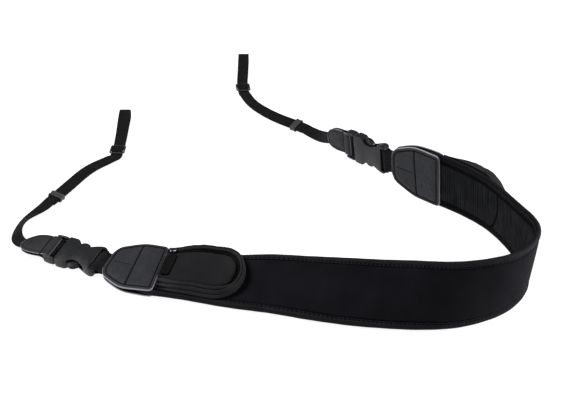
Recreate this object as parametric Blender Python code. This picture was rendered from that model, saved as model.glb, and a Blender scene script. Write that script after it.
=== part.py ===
"""A camera neck strap, laid down on a flat surface in an open loop.

The strap is a padded neoprene shoulder pad with a bound edge, a zipped pocket on the outer face
near each end, leather end tabs, side-release buckles that are fastened, leather tips and thin
adjustable webbing tails with a keeper and a tri-glide each.

Every flexible piece is drawn flat, in the strap's own coordinates, and then laid along a route:
  s  millimetres along the strap,
  w  millimetres across it, upwards from its lower edge (or from its middle on the tails),
  h  millimetres out of its outer face.
Sizes are in millimetres, and MM turns them into metres.
"""
from collections import namedtuple

import bmesh
import bpy
import numpy as np
from mathutils import Matrix

MM = 0.001
OBJECT_NAME = "camera_neck_strap"

# ---------------------------------------------------------------- driving sizes, millimetres
GAP = 0.3                    # clearance between pieces that touch
PAD_WIDTH = 60.0
PAD_THICK = 5.5              # neoprene, lining and air between, from face to face
PAD_MIDDLE = PAD_WIDTH / 2
MID_H = -PAD_THICK / 2       # the middle of the pad's thickness, below the outer face
TAB_LENGTH = 57.0
TAB_MIDDLE = 30.0            # the pad's end is drawn in about this line
LEATHER = 1.8
LOOP_WIDTH = 25.0            # buckle webbing
LOOP_THICK = 1.3
BAR_RADIUS = 2.2             # round bars that webbing and leather fold round
END_BAR_AT = 9.0             # distance outwards from the tab's narrow end
MALE_BAR_AT = 59.4
TIP_END_AT = 92.0
TIP_LEATHER = 1.5
TAIL_WIDTH = 12.0
TAIL_THICK = 1.2
PLY_PITCH = TAIL_THICK + GAP  # centre to centre, where the tail lies double

# ---------------------------------------------------------------- where the strap lies
PadRow = namedtuple("PadRow", "x y rise lean")      # lower edge of the outer face
SideRow = namedtuple("SideRow", "x y z lean")       # middle of the buckle, tip and tail

# The lean is in degrees from upright; positive leans the upper edge to the inside of the loop.
PAD_ROWS = [
    PadRow(-172.5, -153.5, 0.2, 78),     # narrow end of the left tab
    PadRow(-146.0, -164.3, 0.9, 78),
    PadRow(-120.5, -171.8, 2.0, 80),
    PadRow(-83.5, -179.5, 0.6, 76),
    PadRow(-51.5, -188.8, 0.1, 72),
    PadRow(-19.5, -196.4, 0.1, 64.5),
    PadRow(11.0, -205.4, 0.1, 57),
    PadRow(42.5, -213.9, 0.1, 48),
    PadRow(99.5, -222.0, 0.1, 35),
    PadRow(143.0, -220.0, 0.1, 18),
    PadRow(173.0, -209.0, 0.1, 8),
    PadRow(195.5, -193.0, 0.1, 0),
    PadRow(212.8, -169.8, 0.1, -5),
    PadRow(221.0, -140.0, 0.1, -6),
    PadRow(219.0, -114.0, 0.1, 0),
    PadRow(209.5, -80.8, 0.1, 5),
    PadRow(194.3, -50.5, 0.1, 6),
    PadRow(175.8, -28.0, 0.1, 6),
    PadRow(154.6, -8.8, 0.1, 5.2),
    PadRow(111.9, 25.9, -0.2, 5),        # narrow end of the right tab
]
# Each side runs outwards. It starts with a straight lead that holds the buckle, and then follows
# these rows from the end of the leather tip on. The buckle hangs on its end bar at bar_w across
# the tab, swung outwards and tilted towards the tab's upper edge by so many degrees.
LEAD_STATIONS = (0.0, 20.0, 40.0, 52.0, 60.0, 68.0)
Hang = namedtuple("Hang", "bar_w swing tilt")
LEFT_HANG = Hang(27.2, 2.0, 2.3)
RIGHT_HANG = Hang(31.0, 7.0, -2.3)
LEFT_ROWS = [
    SideRow(-246.0, -89.5, 6.4, 79),
    SideRow(-252.6, -79.8, 4.9, 70),
    SideRow(-255.2, -64.0, 4.6, 56),
    SideRow(-250.0, -42.5, 4.4, 68),
    SideRow(-239.5, -24.5, 4.0, 90),
    SideRow(-229.0, -5.0, 4.3, 99),
    SideRow(-213.0, 32.5, 2.9, 101),
    SideRow(-198.5, 59.0, 3.0, 97),
    SideRow(-186.5, 70.5, 3.8, 93),
    SideRow(-178.5, 79.5, 4.2, 90),
    SideRow(-176.0, 90.0, 4.3, 90),
    SideRow(-175.3, 102.0, 4.1, 90),
    SideRow(-175.0, 120.0, 1.9, 90),
    SideRow(-175.0, 140.0, 1.4, 90),
    SideRow(-175.0, 178.0, 1.4, 90),
]
RIGHT_ROWS = [
    SideRow(46.4, 87.7, 22.5, -2),
    SideRow(34.0, 116.0, 10.5, -44),
    SideRow(15.5, 143.0, 6.3, -66),
    SideRow(-2.0, 159.5, 5.0, -70),
    SideRow(-22.0, 181.5, 3.9, -76),
    SideRow(-38.0, 205.5, 3.8, -86),
    SideRow(-45.5, 227.0, 4.1, -90),
    SideRow(-48.0, 242.0, 4.3, -90),
    SideRow(-49.0, 256.0, 4.0, -90),
    SideRow(-49.0, 274.0, 2.1, -90),
    SideRow(-49.0, 292.0, 1.4, -90),
    SideRow(-49.0, 320.0, 1.4, -90),
]
BOX_MIDDLE = (-17.05, 49.55)   # the laid strap's box is centred here, and moved to the origin


def spline(knots, values, where):
    """Natural cubic spline: values at the knots, read at the places in where."""
    values = np.asarray(values, float)
    step = np.diff(knots)
    count = len(knots)
    system = np.eye(count)
    right = np.zeros_like(values)
    for i in range(1, count - 1):
        system[i, i - 1:i + 2] = step[i - 1], 2 * (step[i - 1] + step[i]), step[i]
        right[i] = 6 * ((values[i + 1] - values[i]) / step[i]
                        - (values[i] - values[i - 1]) / step[i - 1])
    bend = np.linalg.solve(system, right)
    k = np.clip(np.searchsorted(knots, where) - 1, 0, count - 2)
    span = step[k][:, None]
    a = (knots[k + 1] - where)[:, None] / span
    b = 1 - a
    cubic = ((a ** 3 - a) * bend[k] + (b ** 3 - b) * bend[k + 1]) * span ** 2 / 6
    return a * values[k] + b * values[k + 1] + cubic


class Route:
    """A smooth line through rows of x, y, z and lean, with the strap's directions along it."""

    def __init__(self, rows, outer_side):
        rows = np.asarray(rows, float)
        knots = np.r_[0, np.cumsum(np.linalg.norm(np.diff(rows[:, :3], axis=0), axis=1))]
        self.dense = spline(knots, rows, np.linspace(0, knots[-1], 3000))
        steps = np.linalg.norm(np.diff(self.dense[:, :3], axis=0), axis=1)
        self.along = np.r_[0, np.cumsum(steps)]
        self.length = self.along[-1]
        self.heading = np.gradient(self.dense[:, :3], self.along, axis=0)
        self.outer_side = outer_side

    def read(self, table, s):
        return np.stack([np.interp(s, self.along, column) for column in table.T], -1)

    def directions(self, s):
        """Point, forward, across and outward directions at s; straight on past both ends."""
        s = np.asarray(s, float)
        forward = self.read(self.heading, s)
        forward /= np.linalg.norm(forward, axis=-1, keepdims=True)
        at = self.read(self.dense, s)
        past_end = s - np.clip(s, 0, self.length)
        point = at[..., :3] + past_end[..., None] * forward
        lean = np.radians(at[..., 3:])
        side = np.cross(forward, (0, 0, 1))
        side *= self.outer_side / np.linalg.norm(side, axis=-1, keepdims=True)
        up = np.cross(side, forward) * self.outer_side
        across = np.cos(lean) * up - np.sin(lean) * side
        outward = np.cos(lean) * side + np.sin(lean) * up
        return point, forward, across, outward

    def lay(self, s, w, h):
        """Carry strap coordinates s, w, h (arrays of one shape) to the laid strap."""
        point, _, across, outward = self.directions(s)
        return point + np.asarray(w)[..., None] * across + np.asarray(h)[..., None] * outward


def resting(row):
    """A pad row with its height: the lowest corner of the section stands on the surface."""
    height = row.rise + PAD_THICK * max(0.0, np.sin(np.radians(row.lean)))
    return row.x - BOX_MIDDLE[0], row.y - BOX_MIDDLE[1], height, row.lean


def side_route(pad_end, way, hang, rows, outer_side):
    """A straight lead from the end bar on, swung and tilted as it hangs, then the side's rows."""
    bar = PAD.lay(pad_end + way * END_BAR_AT, hang.bar_w, MID_H)
    _, heading, across, outward = PAD.directions(pad_end)
    swing, tilt = np.radians(hang.swing), np.radians(hang.tilt)
    forward = np.cos(swing) * way * heading + np.sin(swing) * outward
    forward, across = (np.cos(tilt) * forward + np.sin(tilt) * across,
                       np.cos(tilt) * across - np.sin(tilt) * forward)
    side = np.cross(forward, (0, 0, 1)) * outer_side
    side /= np.linalg.norm(side)
    up = np.cross(side, forward) * outer_side
    lean = np.degrees(np.arctan2(-across @ side, across @ up))
    lead = [(*(bar + (u - END_BAR_AT) * forward), lean) for u in LEAD_STATIONS]
    rest = [(row.x - BOX_MIDDLE[0], row.y - BOX_MIDDLE[1], row.z, row.lean) for row in rows]
    return Route(lead + rest, outer_side)


PAD = Route([resting(row) for row in PAD_ROWS], 1)
LEFT = side_route(0.0, -1, LEFT_HANG, LEFT_ROWS, -1)
RIGHT = side_route(PAD.length, 1, RIGHT_HANG, RIGHT_ROWS, 1)


class End:
    """One end of the pad: a is measured from the tab's narrow end into the pad."""

    def __init__(self, name, start, step, hang):
        self.name = name
        self.start = start
        self.step = step
        self.hang = hang

    def lay(self, a, w, h):
        return PAD.lay(self.start + self.step * np.asarray(a, float), w, h)


LEFT_END = End("left", 0.0, 1.0, LEFT_HANG)
RIGHT_END = End("right", PAD.length, -1.0, RIGHT_HANG)

# ---------------------------------------------------------------- collections and materials
for old in list(bpy.data.objects):
    bpy.data.objects.remove(old, do_unlink=True)
PARTS = bpy.data.collections.new(OBJECT_NAME)
CUTTERS = bpy.data.collections.new("cutters")
bpy.context.scene.collection.children.link(PARTS)
bpy.context.scene.collection.children.link(CUTTERS)

Finish = namedtuple("Finish", "colour roughness metallic")
FINISHES = {
    "neoprene": Finish((0.012, 0.012, 0.013), 0.85, 0.0),
    "lining": Finish((0.020, 0.020, 0.022), 0.90, 0.0),
    "binding": Finish((0.014, 0.014, 0.015), 0.75, 0.0),
    "leather": Finish((0.035, 0.036, 0.040), 0.50, 0.0),
    "webbing": Finish((0.010, 0.010, 0.011), 0.80, 0.0),
    "plastic": Finish((0.030, 0.031, 0.034), 0.40, 0.0),
    "zip": Finish((0.010, 0.010, 0.010), 0.60, 0.0),
    "metal": Finish((0.25, 0.25, 0.26), 0.35, 1.0),
    "rubber": Finish((0.010, 0.010, 0.010), 0.55, 0.0),
}


def material_for(name, finish):
    """A plain material in the finish's colour, one for each piece."""
    material = bpy.data.materials.new(name)
    material.use_nodes = True
    shader = material.node_tree.nodes["Principled BSDF"]
    look = FINISHES[finish]
    shader.inputs["Base Color"].default_value = (*look.colour, 1)
    shader.inputs["Roughness"].default_value = look.roughness
    shader.inputs["Metallic"].default_value = look.metallic
    return material


def add_mesh(name, points, faces, finish, collection=None):
    """A mesh object from points in millimetres, with its faces turned outwards."""
    mesh = bpy.data.meshes.new(name)
    mesh.from_pydata((np.asarray(points) * MM).tolist(), [], faces)
    body = bmesh.new()
    body.from_mesh(mesh)
    bmesh.ops.recalc_face_normals(body, faces=body.faces)
    body.to_mesh(mesh)
    body.free()
    made = bpy.data.objects.new(name, mesh)
    (collection or PARTS).objects.link(made)
    if finish:
        mesh.materials.append(material_for(name, finish))
    return made


def loft(name, rings, finish, collection=None):
    """A closed body through rings of equal point count, capped at both ends."""
    count, size, _ = rings.shape
    first = np.arange(count - 1)[:, None] * size
    here = np.arange(size)[None, :]
    a = first + here
    b = first + (here + 1) % size
    halves = np.stack([a, b, b + size, a, b + size, a + size], -1)
    walls = halves.reshape(-1, 3).tolist()
    caps = [list(range(size)), list(range((count - 1) * size, count * size))]
    return add_mesh(name, rings.reshape(-1, 3), walls + caps, finish, collection)


def ease(x, low, high):
    """0 below low, 1 above high, and a smooth step between."""
    t = np.clip((np.asarray(x, float) - low) / (high - low), 0, 1)
    return t * t * (3 - 2 * t)


# ---------------------------------------------------------------- shoulder pad
PAD_END = 30.0               # the pad stops here, inside the tab
BINDING_END = 34.0
PINCH_FROM = 57.0            # past the tab's wide end the pad has its full section
PINCH_WIDTH = 0.86
PINCH_THICK = 0.60
SECTION_SPACING = 13.0
BINDING_REACH = 6.1          # how far the binding covers each face

# Half sections, from the lower edge, as (w, h); the other half mirrors them.
CORE_FACE = [(1.6, -2.8), (2.6, -1.45), (6.4, -1.45), (7.8, -0.35), (16.0, 0.0)]
CORE_BACK = -4.1
LINING_EDGE = BINDING_REACH + GAP
LINING_TOP = -4.4
LINING_BACK = -5.4
BACK_COLUMNS = [LINING_EDGE, 18.0, PAD_MIDDLE, PAD_WIDTH - 18.0, PAD_WIDTH - LINING_EDGE]
BINDING_SECTION = [
    (BINDING_REACH, -0.30), (2.2, -0.15), (0.6, -0.95), (0.0, -2.75), (0.6, -4.55), (2.2, -5.35),
    (BINDING_REACH, -5.25), (BINDING_REACH, -4.45), (2.2, -4.45), (0.95, -2.75), (2.2, -1.05),
    (BINDING_REACH, -1.15),
]


def pinched(s, w, h):
    """Draw the section in where the end tabs clamp it."""
    a = np.minimum(s, PAD.length - s)
    full = ease(a, PAD_END, PINCH_FROM)
    narrow = PINCH_WIDTH + (1 - PINCH_WIDTH) * full
    thin = PINCH_THICK + (1 - PINCH_THICK) * full
    return PAD.lay(s, TAB_MIDDLE + (w - TAB_MIDDLE) * narrow, MID_H + (h - MID_H) * thin)


def along_pad(name, section, end, finish):
    """Carry a section of (w, h) points along the whole pad."""
    section = np.asarray(section, float)
    inner = PINCH_FROM - 8
    count = int(round((PAD.length - 2 * inner) / SECTION_SPACING)) + 1
    s = np.r_[end, 42.0, np.linspace(inner, PAD.length - inner, count), PAD.length - 42.0,
              PAD.length - end][:, None]
    w, h = section[None, :, 0] + 0 * s, section[None, :, 1] + 0 * s
    return loft(name, pinched(s + 0 * w, w, h), finish)


def mirrored(half):
    """Mirror (w, h) points across the pad's middle, in reverse order."""
    return [(PAD_WIDTH - w, h) for w, h in reversed(half)]


def make_pad():
    corner = CORE_FACE[1][0]
    back = [corner] + BACK_COLUMNS + [PAD_WIDTH - corner]
    core = CORE_FACE + mirrored(CORE_FACE) + [(w, CORE_BACK) for w in reversed(back)]
    along_pad("shoulder_pad", core, PAD_END, "neoprene")
    lining = [(w, LINING_BACK) for w in BACK_COLUMNS]
    lining += [(w, LINING_TOP) for w in reversed(BACK_COLUMNS)]
    along_pad("grip_lining", lining, BINDING_END, "lining")
    along_pad("lower_binding", BINDING_SECTION, BINDING_END, "binding")
    along_pad("upper_binding", mirrored(BINDING_SECTION), BINDING_END, "binding")


# ---------------------------------------------------------------- leather end tabs
TabRow = namedtuple("TabRow", "a half outer_seat inner_seat")
# half is the half width; the seats are the h of the face that lies on what is clamped.
TAB_ROWS = [
    TabRow(-1.2, 9.5, -0.9, -4.6),
    TabRow(-0.5, 12.2, -0.9, -4.6),
    TabRow(0.6, 15.0, -0.9, -4.6),
    TabRow(2.2, 17.8, -0.9, -4.6),
    TabRow(5.0, 20.2, -0.9, -4.6),
    TabRow(16.0, 25.3, -0.9, -4.6),
    TabRow(25.0, 28.2, -0.8, -4.7),
    TabRow(30.0, 29.0, -0.5, -4.9),
    TabRow(40.0, 29.2, 0.2, -5.3),
    TabRow(48.0, 29.2, 0.4, -5.75),
    TabRow(54.0, 29.0, 0.4, -5.8),
    TabRow(56.2, 27.6, 0.4, -5.8),
    TabRow(TAB_LENGTH, 24.5, 0.4, -5.8),
]
TAB_COLUMNS = np.array([-1.0, -0.82, 0.0, 0.82, 1.0])
TAB_EDGE_DROOP = 0.3


def make_tab(end, name, seat_column, away):
    """One leather layer: away is 1 for the outer layer and -1 for the inner one."""
    rows = np.asarray(TAB_ROWS, float)
    a, half, seat = rows[:, 0:1], rows[:, 1:2], rows[:, seat_column][:, None]
    droop = TAB_EDGE_DROOP * (np.abs(TAB_COLUMNS) > 0.9)
    near = seat - away * droop
    far = seat + away * (LEATHER - droop)
    w = TAB_MIDDLE + half * np.r_[TAB_COLUMNS, TAB_COLUMNS[::-1]]
    h = np.concatenate([near, far[:, ::-1]], axis=1)
    loft(f"{end.name}_{name}", end.lay(a + 0 * w, w, h), "leather")


# ---------------------------------------------------------------- folded bands
def offset_line(line, distance):
    """Shift a line of (u, h) points sideways; positive is to the left of travel."""
    way = np.gradient(line, axis=0)
    way /= np.linalg.norm(way, axis=1, keepdims=True)
    return line + distance * np.stack([-way[:, 1], way[:, 0]], -1)


def band(name, lay, line, half_width, middle, thick, finish):
    """A flat band of the given thickness along a line of (u, h) points in side view."""
    line = np.asarray(line, float)
    upper, lower = offset_line(line, thick / 2), offset_line(line, -thick / 2)
    half = np.broadcast_to(half_width, len(line))
    u = np.stack([upper[:, 0], lower[:, 0], lower[:, 0], upper[:, 0]], 1)
    h = np.stack([upper[:, 1], lower[:, 1], lower[:, 1], upper[:, 1]], 1)
    w = middle + np.stack([-half, -half, half, half], 1)
    return loft(name, lay(u, w, h), finish)


def arc(centre, radius, start, stop, steps):
    """Points of (u, h) round a centre, angles in degrees."""
    angle = np.radians(np.linspace(start, stop, steps + 1))
    return np.stack([centre[0] + radius * np.cos(angle), centre[1] + radius * np.sin(angle)], -1)


LOOP_HIDDEN = 22.0           # how far the webbing runs in between the tab's layers


def make_buckle_loop(end):
    """Webbing sewn in the tab, folded round the buckle's end bar."""
    ply = (LOOP_THICK + GAP) / 2
    fold = arc((-END_BAR_AT, MID_H), BAR_RADIUS + GAP + LOOP_THICK / 2, 75, 285, 10)
    rise = 0.45 * ply
    line = np.vstack([
        [(LOOP_HIDDEN, MID_H + ply), (-2.0, MID_H + ply), (-4.0, MID_H + ply + rise)], fold,
        [(-4.0, MID_H - ply - rise), (-2.0, MID_H - ply), (LOOP_HIDDEN, MID_H - ply)]])
    slope = np.tan(np.radians(end.hang.tilt))

    def lay(a, w, h):
        """The fold follows the bar, which the buckle's tilt turns a little."""
        return end.lay(a + slope * (w - end.hang.bar_w), w, h)

    band(f"{end.name}_buckle_loop", lay, line, LOOP_WIDTH / 2, end.hang.bar_w, LOOP_THICK, "webbing")


# ---------------------------------------------------------------- side-release buckles
BODY_HALF = 15.7             # half width of the closed buckle
BODY_THICK = 9.4
CHEEK_INNER = LOOP_WIDTH / 2 + 0.7
MOUTH_AT = 49.2              # where the female half ends and the male shoulder begins
FEMALE_FROM = END_BAR_AT - 2.8
SLOT_TO = END_BAR_AT + 4.3   # the far side of the slot that the loop goes through
CAVITY_FROM = SLOT_TO + 3.1
CAVITY_HALF_WIDTH = 13.2
CAVITY_HALF_THICK = 3.1
WINDOW_AT = 31.5             # the waist, where the prongs are pressed
MALE_FROM = MOUTH_AT + GAP
MALE_TO = MALE_BAR_AT + 2.6
PRONG_HALF_THICK = CAVITY_HALF_THICK - 0.4


def prism(name, outline, half_thick, finish=None, collection=None):
    """A flat outline of (u, w) points, extruded both ways in h."""
    outline = np.asarray(outline, float)
    rings = np.stack([np.c_[outline, 0 * outline[:, 0] + h] for h in (-half_thick, half_thick)])
    return loft(name, rings, finish, collection)


def both_sides(half_outline):
    """Mirror (u, w) points to the negative side, giving one closed outline."""
    return list(half_outline) + [(u, -w) for u, w in reversed(half_outline)]


def box(name, low, high):
    """A box cutter between two corners, from the cube primitive."""
    low, high = np.asarray(low, float), np.asarray(high, float)
    bpy.ops.mesh.primitive_cube_add(size=MM)
    made = bpy.context.object
    made.name = name
    made.data.transform(Matrix.Translation((low + high) / 2 * MM) @ Matrix.Diagonal((*(high - low), 1)))
    for owner in list(made.users_collection):
        owner.objects.unlink(made)
    CUTTERS.objects.link(made)
    return made


def crossbar(name, u):
    """A round bar across the buckle at u, from the cylinder primitive; it runs into both cheeks."""
    length = 2 * (CHEEK_INNER + 1)
    bpy.ops.mesh.primitive_cylinder_add(vertices=12, radius=BAR_RADIUS * MM, depth=length * MM)
    made = bpy.context.object
    made.name = name
    made.data.transform(Matrix.Translation((u * MM, 0, 0)) @ Matrix.Rotation(np.pi / 2, 4, "X"))
    for owner in list(made.users_collection):
        owner.objects.unlink(made)
    CUTTERS.objects.link(made)
    return made


def apply_cuts(body, steps):
    """Run the Booleans (operation, tool) in order, keep the result as the body's mesh."""
    for operation, tool in steps:
        cut = body.modifiers.new(operation, "BOOLEAN")
        cut.operation = operation
        cut.object = tool
        cut.solver = "EXACT"
    scene = bpy.context.evaluated_depsgraph_get()
    mesh = bpy.data.meshes.new_from_object(body.evaluated_get(scene))
    body.modifiers.clear()
    body.data = mesh
    for _, tool in steps:
        tool.hide_render = True
        tool.display_type = "WIRE"


def place(body, route, u):
    """Set a rigid piece at u on a route, along it, with its own w and h axes turned to match."""
    point, forward, across, _ = (v[0] for v in route.directions(np.array([u])))
    outward = np.cross(forward, across)
    turn = Matrix([[forward[i], across[i], outward[i]] for i in range(3)]).to_4x4()
    body.matrix_world = Matrix.Translation(point * MM) @ turn
    bpy.context.view_layer.update()


BUCKLE_CENTRE = 32.0         # the point of the buckle that is set on the route


def make_female(name):
    half_outline = [
        (MOUTH_AT, BODY_HALF - 1.6), (MOUTH_AT - 1.6, BODY_HALF - 0.4), (MOUTH_AT - 4.5, BODY_HALF),
        (39.5, BODY_HALF - 0.1), (38.2, BODY_HALF - 0.8), (35.2, 11.8), (33.2, 10.3), (30.8, 9.6),
        (28.2, 9.6), (25.5, 10.3), (20.0, 12.9), (16.0, 14.7), (13.0, BODY_HALF - 0.2),
        (10.5, BODY_HALF - 0.3), (8.4, BODY_HALF - 1.2), (7.0, BODY_HALF - 2.4),
        (FEMALE_FROM, BODY_HALF - 4.2),
    ]
    body = prism(name, both_sides(half_outline), BODY_THICK / 2, "plastic")
    thick = BODY_THICK
    tools = [
        ("DIFFERENCE", box("cavity", (CAVITY_FROM, -CAVITY_HALF_WIDTH, -CAVITY_HALF_THICK),
                           (MOUTH_AT + 5, CAVITY_HALF_WIDTH, CAVITY_HALF_THICK))),
        ("DIFFERENCE", box("loop_slot", (-1, -CHEEK_INNER, -thick), (SLOT_TO, CHEEK_INNER, thick))),
        ("UNION", crossbar("end_bar", END_BAR_AT)),
    ]
    apply_cuts(body, tools)
    return body


def make_male(name):
    base = [(MALE_FROM, BODY_HALF - 0.6), (MALE_FROM + 4, BODY_HALF - 0.3),
            (MALE_FROM + 8, BODY_HALF - 0.6), (MALE_TO - 1.4, BODY_HALF - 1.0),
            (MALE_TO, BODY_HALF - 1.8)]
    body = prism(name, both_sides(base), BODY_THICK / 2 - 0.5, "plastic")
    slot = (MALE_FROM + 2.4, MALE_TO + 3)
    press = [(4.0, 13.0), (3.3, 14.6), (0.0, 15.6), (-3.3, 14.6), (-4.8, 13.0), (-6.9, 11.4),
             (-6.7, 9.4), (-4.5, 9.0)]
    prong = [(MALE_FROM + 1, 12.6), (WINDOW_AT + 8.0, 12.2)]
    prong += [(WINDOW_AT + along, out) for along, out in press]
    prong += [(MALE_FROM - 6.5, 8.4), (MALE_FROM - 1.5, 7.4), (MALE_FROM - 1.5, 2.6),
              (WINDOW_AT - 4.5, 2.2), (WINDOW_AT - 7.5, 1.6)]
    arms = prism("prongs", both_sides(prong), PRONG_HALF_THICK, None, CUTTERS)
    tools = [
        ("DIFFERENCE", box("tip_slot", (slot[0], -CHEEK_INNER, -BODY_THICK),
                           (slot[1], CHEEK_INNER, BODY_THICK))),
        ("UNION", arms),
        ("UNION", crossbar("tip_bar", MALE_BAR_AT)),
    ]
    apply_cuts(body, tools)
    return body


def make_buckle(route, side):
    """Both halves, modelled along u from the tab, and set on the route as one rigid buckle."""
    for half in (make_female(f"{side}_buckle_female"), make_male(f"{side}_buckle_male")):
        half.data.transform(Matrix.Translation((-BUCKLE_CENTRE * MM, 0, 0)))
        place(half, route, BUCKLE_CENTRE)


# ---------------------------------------------------------------- leather tips
TipRow = namedtuple("TipRow", "u half")
TIP_ROWS = [
    TipRow(TIP_END_AT, 3.4), TipRow(TIP_END_AT - 0.9, 5.6), TipRow(TIP_END_AT - 2.6, 7.4),
    TipRow(TIP_END_AT - 5, 9.0), TipRow(TIP_END_AT - 8, 10.4), TipRow(TIP_END_AT - 11, 11.4),
    TipRow(TIP_END_AT - 14, 12.0), TipRow(TIP_END_AT - 17, 12.4), TipRow(TIP_END_AT - 20, 12.6),
    TipRow(MALE_BAR_AT + 6.2, 12.6),
]


def make_tip(route, side):
    """A leather strip folded round the male bar, its two plies closing on the tail."""
    ply = (TAIL_THICK + TIP_LEATHER) / 2 + GAP
    fold = arc((MALE_BAR_AT, 0), BAR_RADIUS + GAP + TIP_LEATHER / 2, 75, 285, 10)
    rows = np.asarray(TIP_ROWS)
    closing = 3.1 - (3.1 - ply) * ease(rows[:, 0], MALE_BAR_AT + 2, MALE_BAR_AT + 12)
    upper = np.c_[rows[:, 0], closing]
    lower = np.c_[rows[:, 0], -closing][::-1]
    half = np.r_[rows[:, 1], np.full(len(fold), 12.4), rows[::-1, 1]]
    band(f"{side}_tip", route.lay, np.vstack([upper, fold, lower]), half, 0.0, TIP_LEATHER, "leather")


# ---------------------------------------------------------------- webbing tails
KEEPER_LENGTH = 7.5
KEEPER_WIDTH = 14.8
KEEPER_WALL = 1.1
TRI_LENGTH = 17.5
TRI_WIDTH = 16.0
TRI_THICK = 1.5
TRI_BAR = 2.0
EYE_RADIUS = 4.6             # the loop's end, to the middle of the webbing
FREE_END = 9.0               # how far the free end sticks out past the keeper
TAIL_SPACING = 7.6


def tri_glide_wave(u, tri_at):
    """How far the doubled webbing swings out of line: under the end bars, over the middle one."""
    away = np.abs(u - tri_at)
    reach = TRI_THICK / 2 + GAP + PLY_PITCH / 2 + TAIL_THICK / 2
    over = reach * (1 - 2 * ease(away, TRI_BAR / 2, TRI_LENGTH / 2 - TRI_BAR))
    return np.where(away < TRI_LENGTH / 2, over, -reach * (1 - ease(away, TRI_LENGTH / 2, 22.0)))


def tail_line(route, keeper_at, tri_at):
    """Side view of the whole tail: out along the top, round the eye, back underneath."""
    end = route.length - EYE_RADIUS
    coarse = np.arange(keeper_at - KEEPER_LENGTH / 2 - FREE_END, end, TAIL_SPACING)
    fine = np.linspace(tri_at - TRI_LENGTH / 2 - 3, tri_at + TRI_LENGTH / 2 + 3, 25)
    coarse = coarse[(coarse < fine[0] - 2) | (coarse > fine[-1] + 2)]
    u = np.sort(np.r_[coarse, fine])
    middle = np.stack([u, tri_glide_wave(u, tri_at)], -1)
    top = offset_line(middle, PLY_PITCH / 2)
    bottom = offset_line(middle, -PLY_PITCH / 2)
    eye = ease(top[:, 0], tri_at + TRI_LENGTH / 2, end)
    top[:, 1] += (2 * EYE_RADIUS - PLY_PITCH) * eye
    turn = arc((end, EYE_RADIUS - PLY_PITCH / 2), EYE_RADIUS, 80, -80, 7)
    sewn = [row.u for row in reversed(TIP_ROWS[:-1])]
    first = np.r_[sewn, np.arange(TIP_END_AT + 3, u[0] - 8, TAIL_SPACING)]
    lead = np.c_[first, 0 * first]
    return np.vstack([lead, top, turn, bottom[::-1]])


def make_tail(route, side, keeper_at, tri_at, upper_face):
    """The webbing with its keeper and tri-glide; upper_face is the sign of the h that is on top."""
    line = tail_line(route, keeper_at, tri_at) * (1, upper_face)
    band(f"{side}_tail", route.lay, line, TAIL_WIDTH / 2, 0.0, TAIL_THICK, "webbing")

    inner_half = PLY_PITCH / 2 + TAIL_THICK / 2 + GAP
    outer_half = inner_half + KEEPER_WALL
    length, width = KEEPER_LENGTH / 2, KEEPER_WIDTH / 2
    keeper = prism(f"{side}_keeper", both_sides([(-length, width), (length, width)]), outer_half,
                   "rubber")
    hole = box("keeper_hole", (-length - 1, -TAIL_WIDTH / 2 - GAP, -inner_half),
               (length + 1, TAIL_WIDTH / 2 + GAP, inner_half))
    apply_cuts(keeper, [("DIFFERENCE", hole)])
    place(keeper, route, keeper_at)

    length, width = TRI_LENGTH / 2, TRI_WIDTH / 2
    corner = 2.5
    outline = [(-length, width - corner), (-length + corner, width), (length - corner, width),
               (length, width - corner)]
    glide = prism(f"{side}_tri_glide", both_sides(outline), TRI_THICK / 2, "plastic")
    slots = []
    for way in (-1, 1):
        ends = sorted([way * TRI_BAR / 2, way * (length - TRI_BAR)])
        slots.append(("DIFFERENCE", box("glide_slot", (ends[0], -TAIL_WIDTH / 2 - 0.4, -TRI_THICK),
                                        (ends[1], TAIL_WIDTH / 2 + 0.4, TRI_THICK))))
    apply_cuts(glide, slots)
    place(glide, route, tri_at)


# ---------------------------------------------------------------- zipped pockets
POCKET_FROM = TAB_LENGTH + 2 * GAP   # it starts at the tab's wide end
POCKET_TURN = 107.5          # centre of the round end
POCKET_MIDDLE = 31.0
POCKET_REACH = 27.0          # outer radius of the rim at its foot
FLAP_MIDDLE = 31.9           # the panel and zip sit a little above the rim's middle
FLAP_RADIUS = 20.1
ZIP_WIDTH = 2.8
POCKET_HEIGHT = 8.6
POCKET_END_HEIGHT = 1.0
POCKET_ARC_STEPS = 10
POCKET_STRAIGHT = [POCKET_FROM, 63.0, 70.0, 78.0, 86.0, 95.0]
ZIP_FROM = 64.0
SPREAD_TO = 88.0             # up to here the sewn slope lies flatter and wider
SPREAD = 8.0

# Wall sections as (radius, share of the height); sewn side slopes in to meet the flap.
ZIP_SIDE = [(27.2, 0.02), (27.1, 0.50), (26.8, 0.90), (25.9, 1.0), (24.9, 0.96), (24.6, 0.80),
            (25.2, 0.72), (25.6, 0.46), (25.7, 0.02)]
SEWN_SIDE = [(27.9, 0.02), (26.4, 0.42), (23.5, 0.86), (21.5, 1.0), (20.0, 0.98), (19.7, 0.80),
             (21.1, 0.70), (24.3, 0.34), (25.8, 0.02)]


def pocket_height(a):
    """The pocket's full height along its length: it flattens out under the tab."""
    return POCKET_END_HEIGHT + (POCKET_HEIGHT - POCKET_END_HEIGHT) * ease(a, TAB_LENGTH, 92.0)


def spread(a):
    """How much further the sewn slope reaches over the panel, where the pocket is flat."""
    return SPREAD * (1 - ease(a, TAB_LENGTH, SPREAD_TO))


def u_track(first_straight, stop_angle, last_straight):
    """Places round the pocket: a centre (a) and a direction angle, from the zip side's start."""
    start = [(a, 90.0) for a in first_straight]
    turn = [(POCKET_TURN, angle) for angle in np.linspace(90.0, stop_angle, POCKET_ARC_STEPS + 1)]
    back = [(a, -90.0) for a in last_straight]
    return np.array(start + turn + back)


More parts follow.
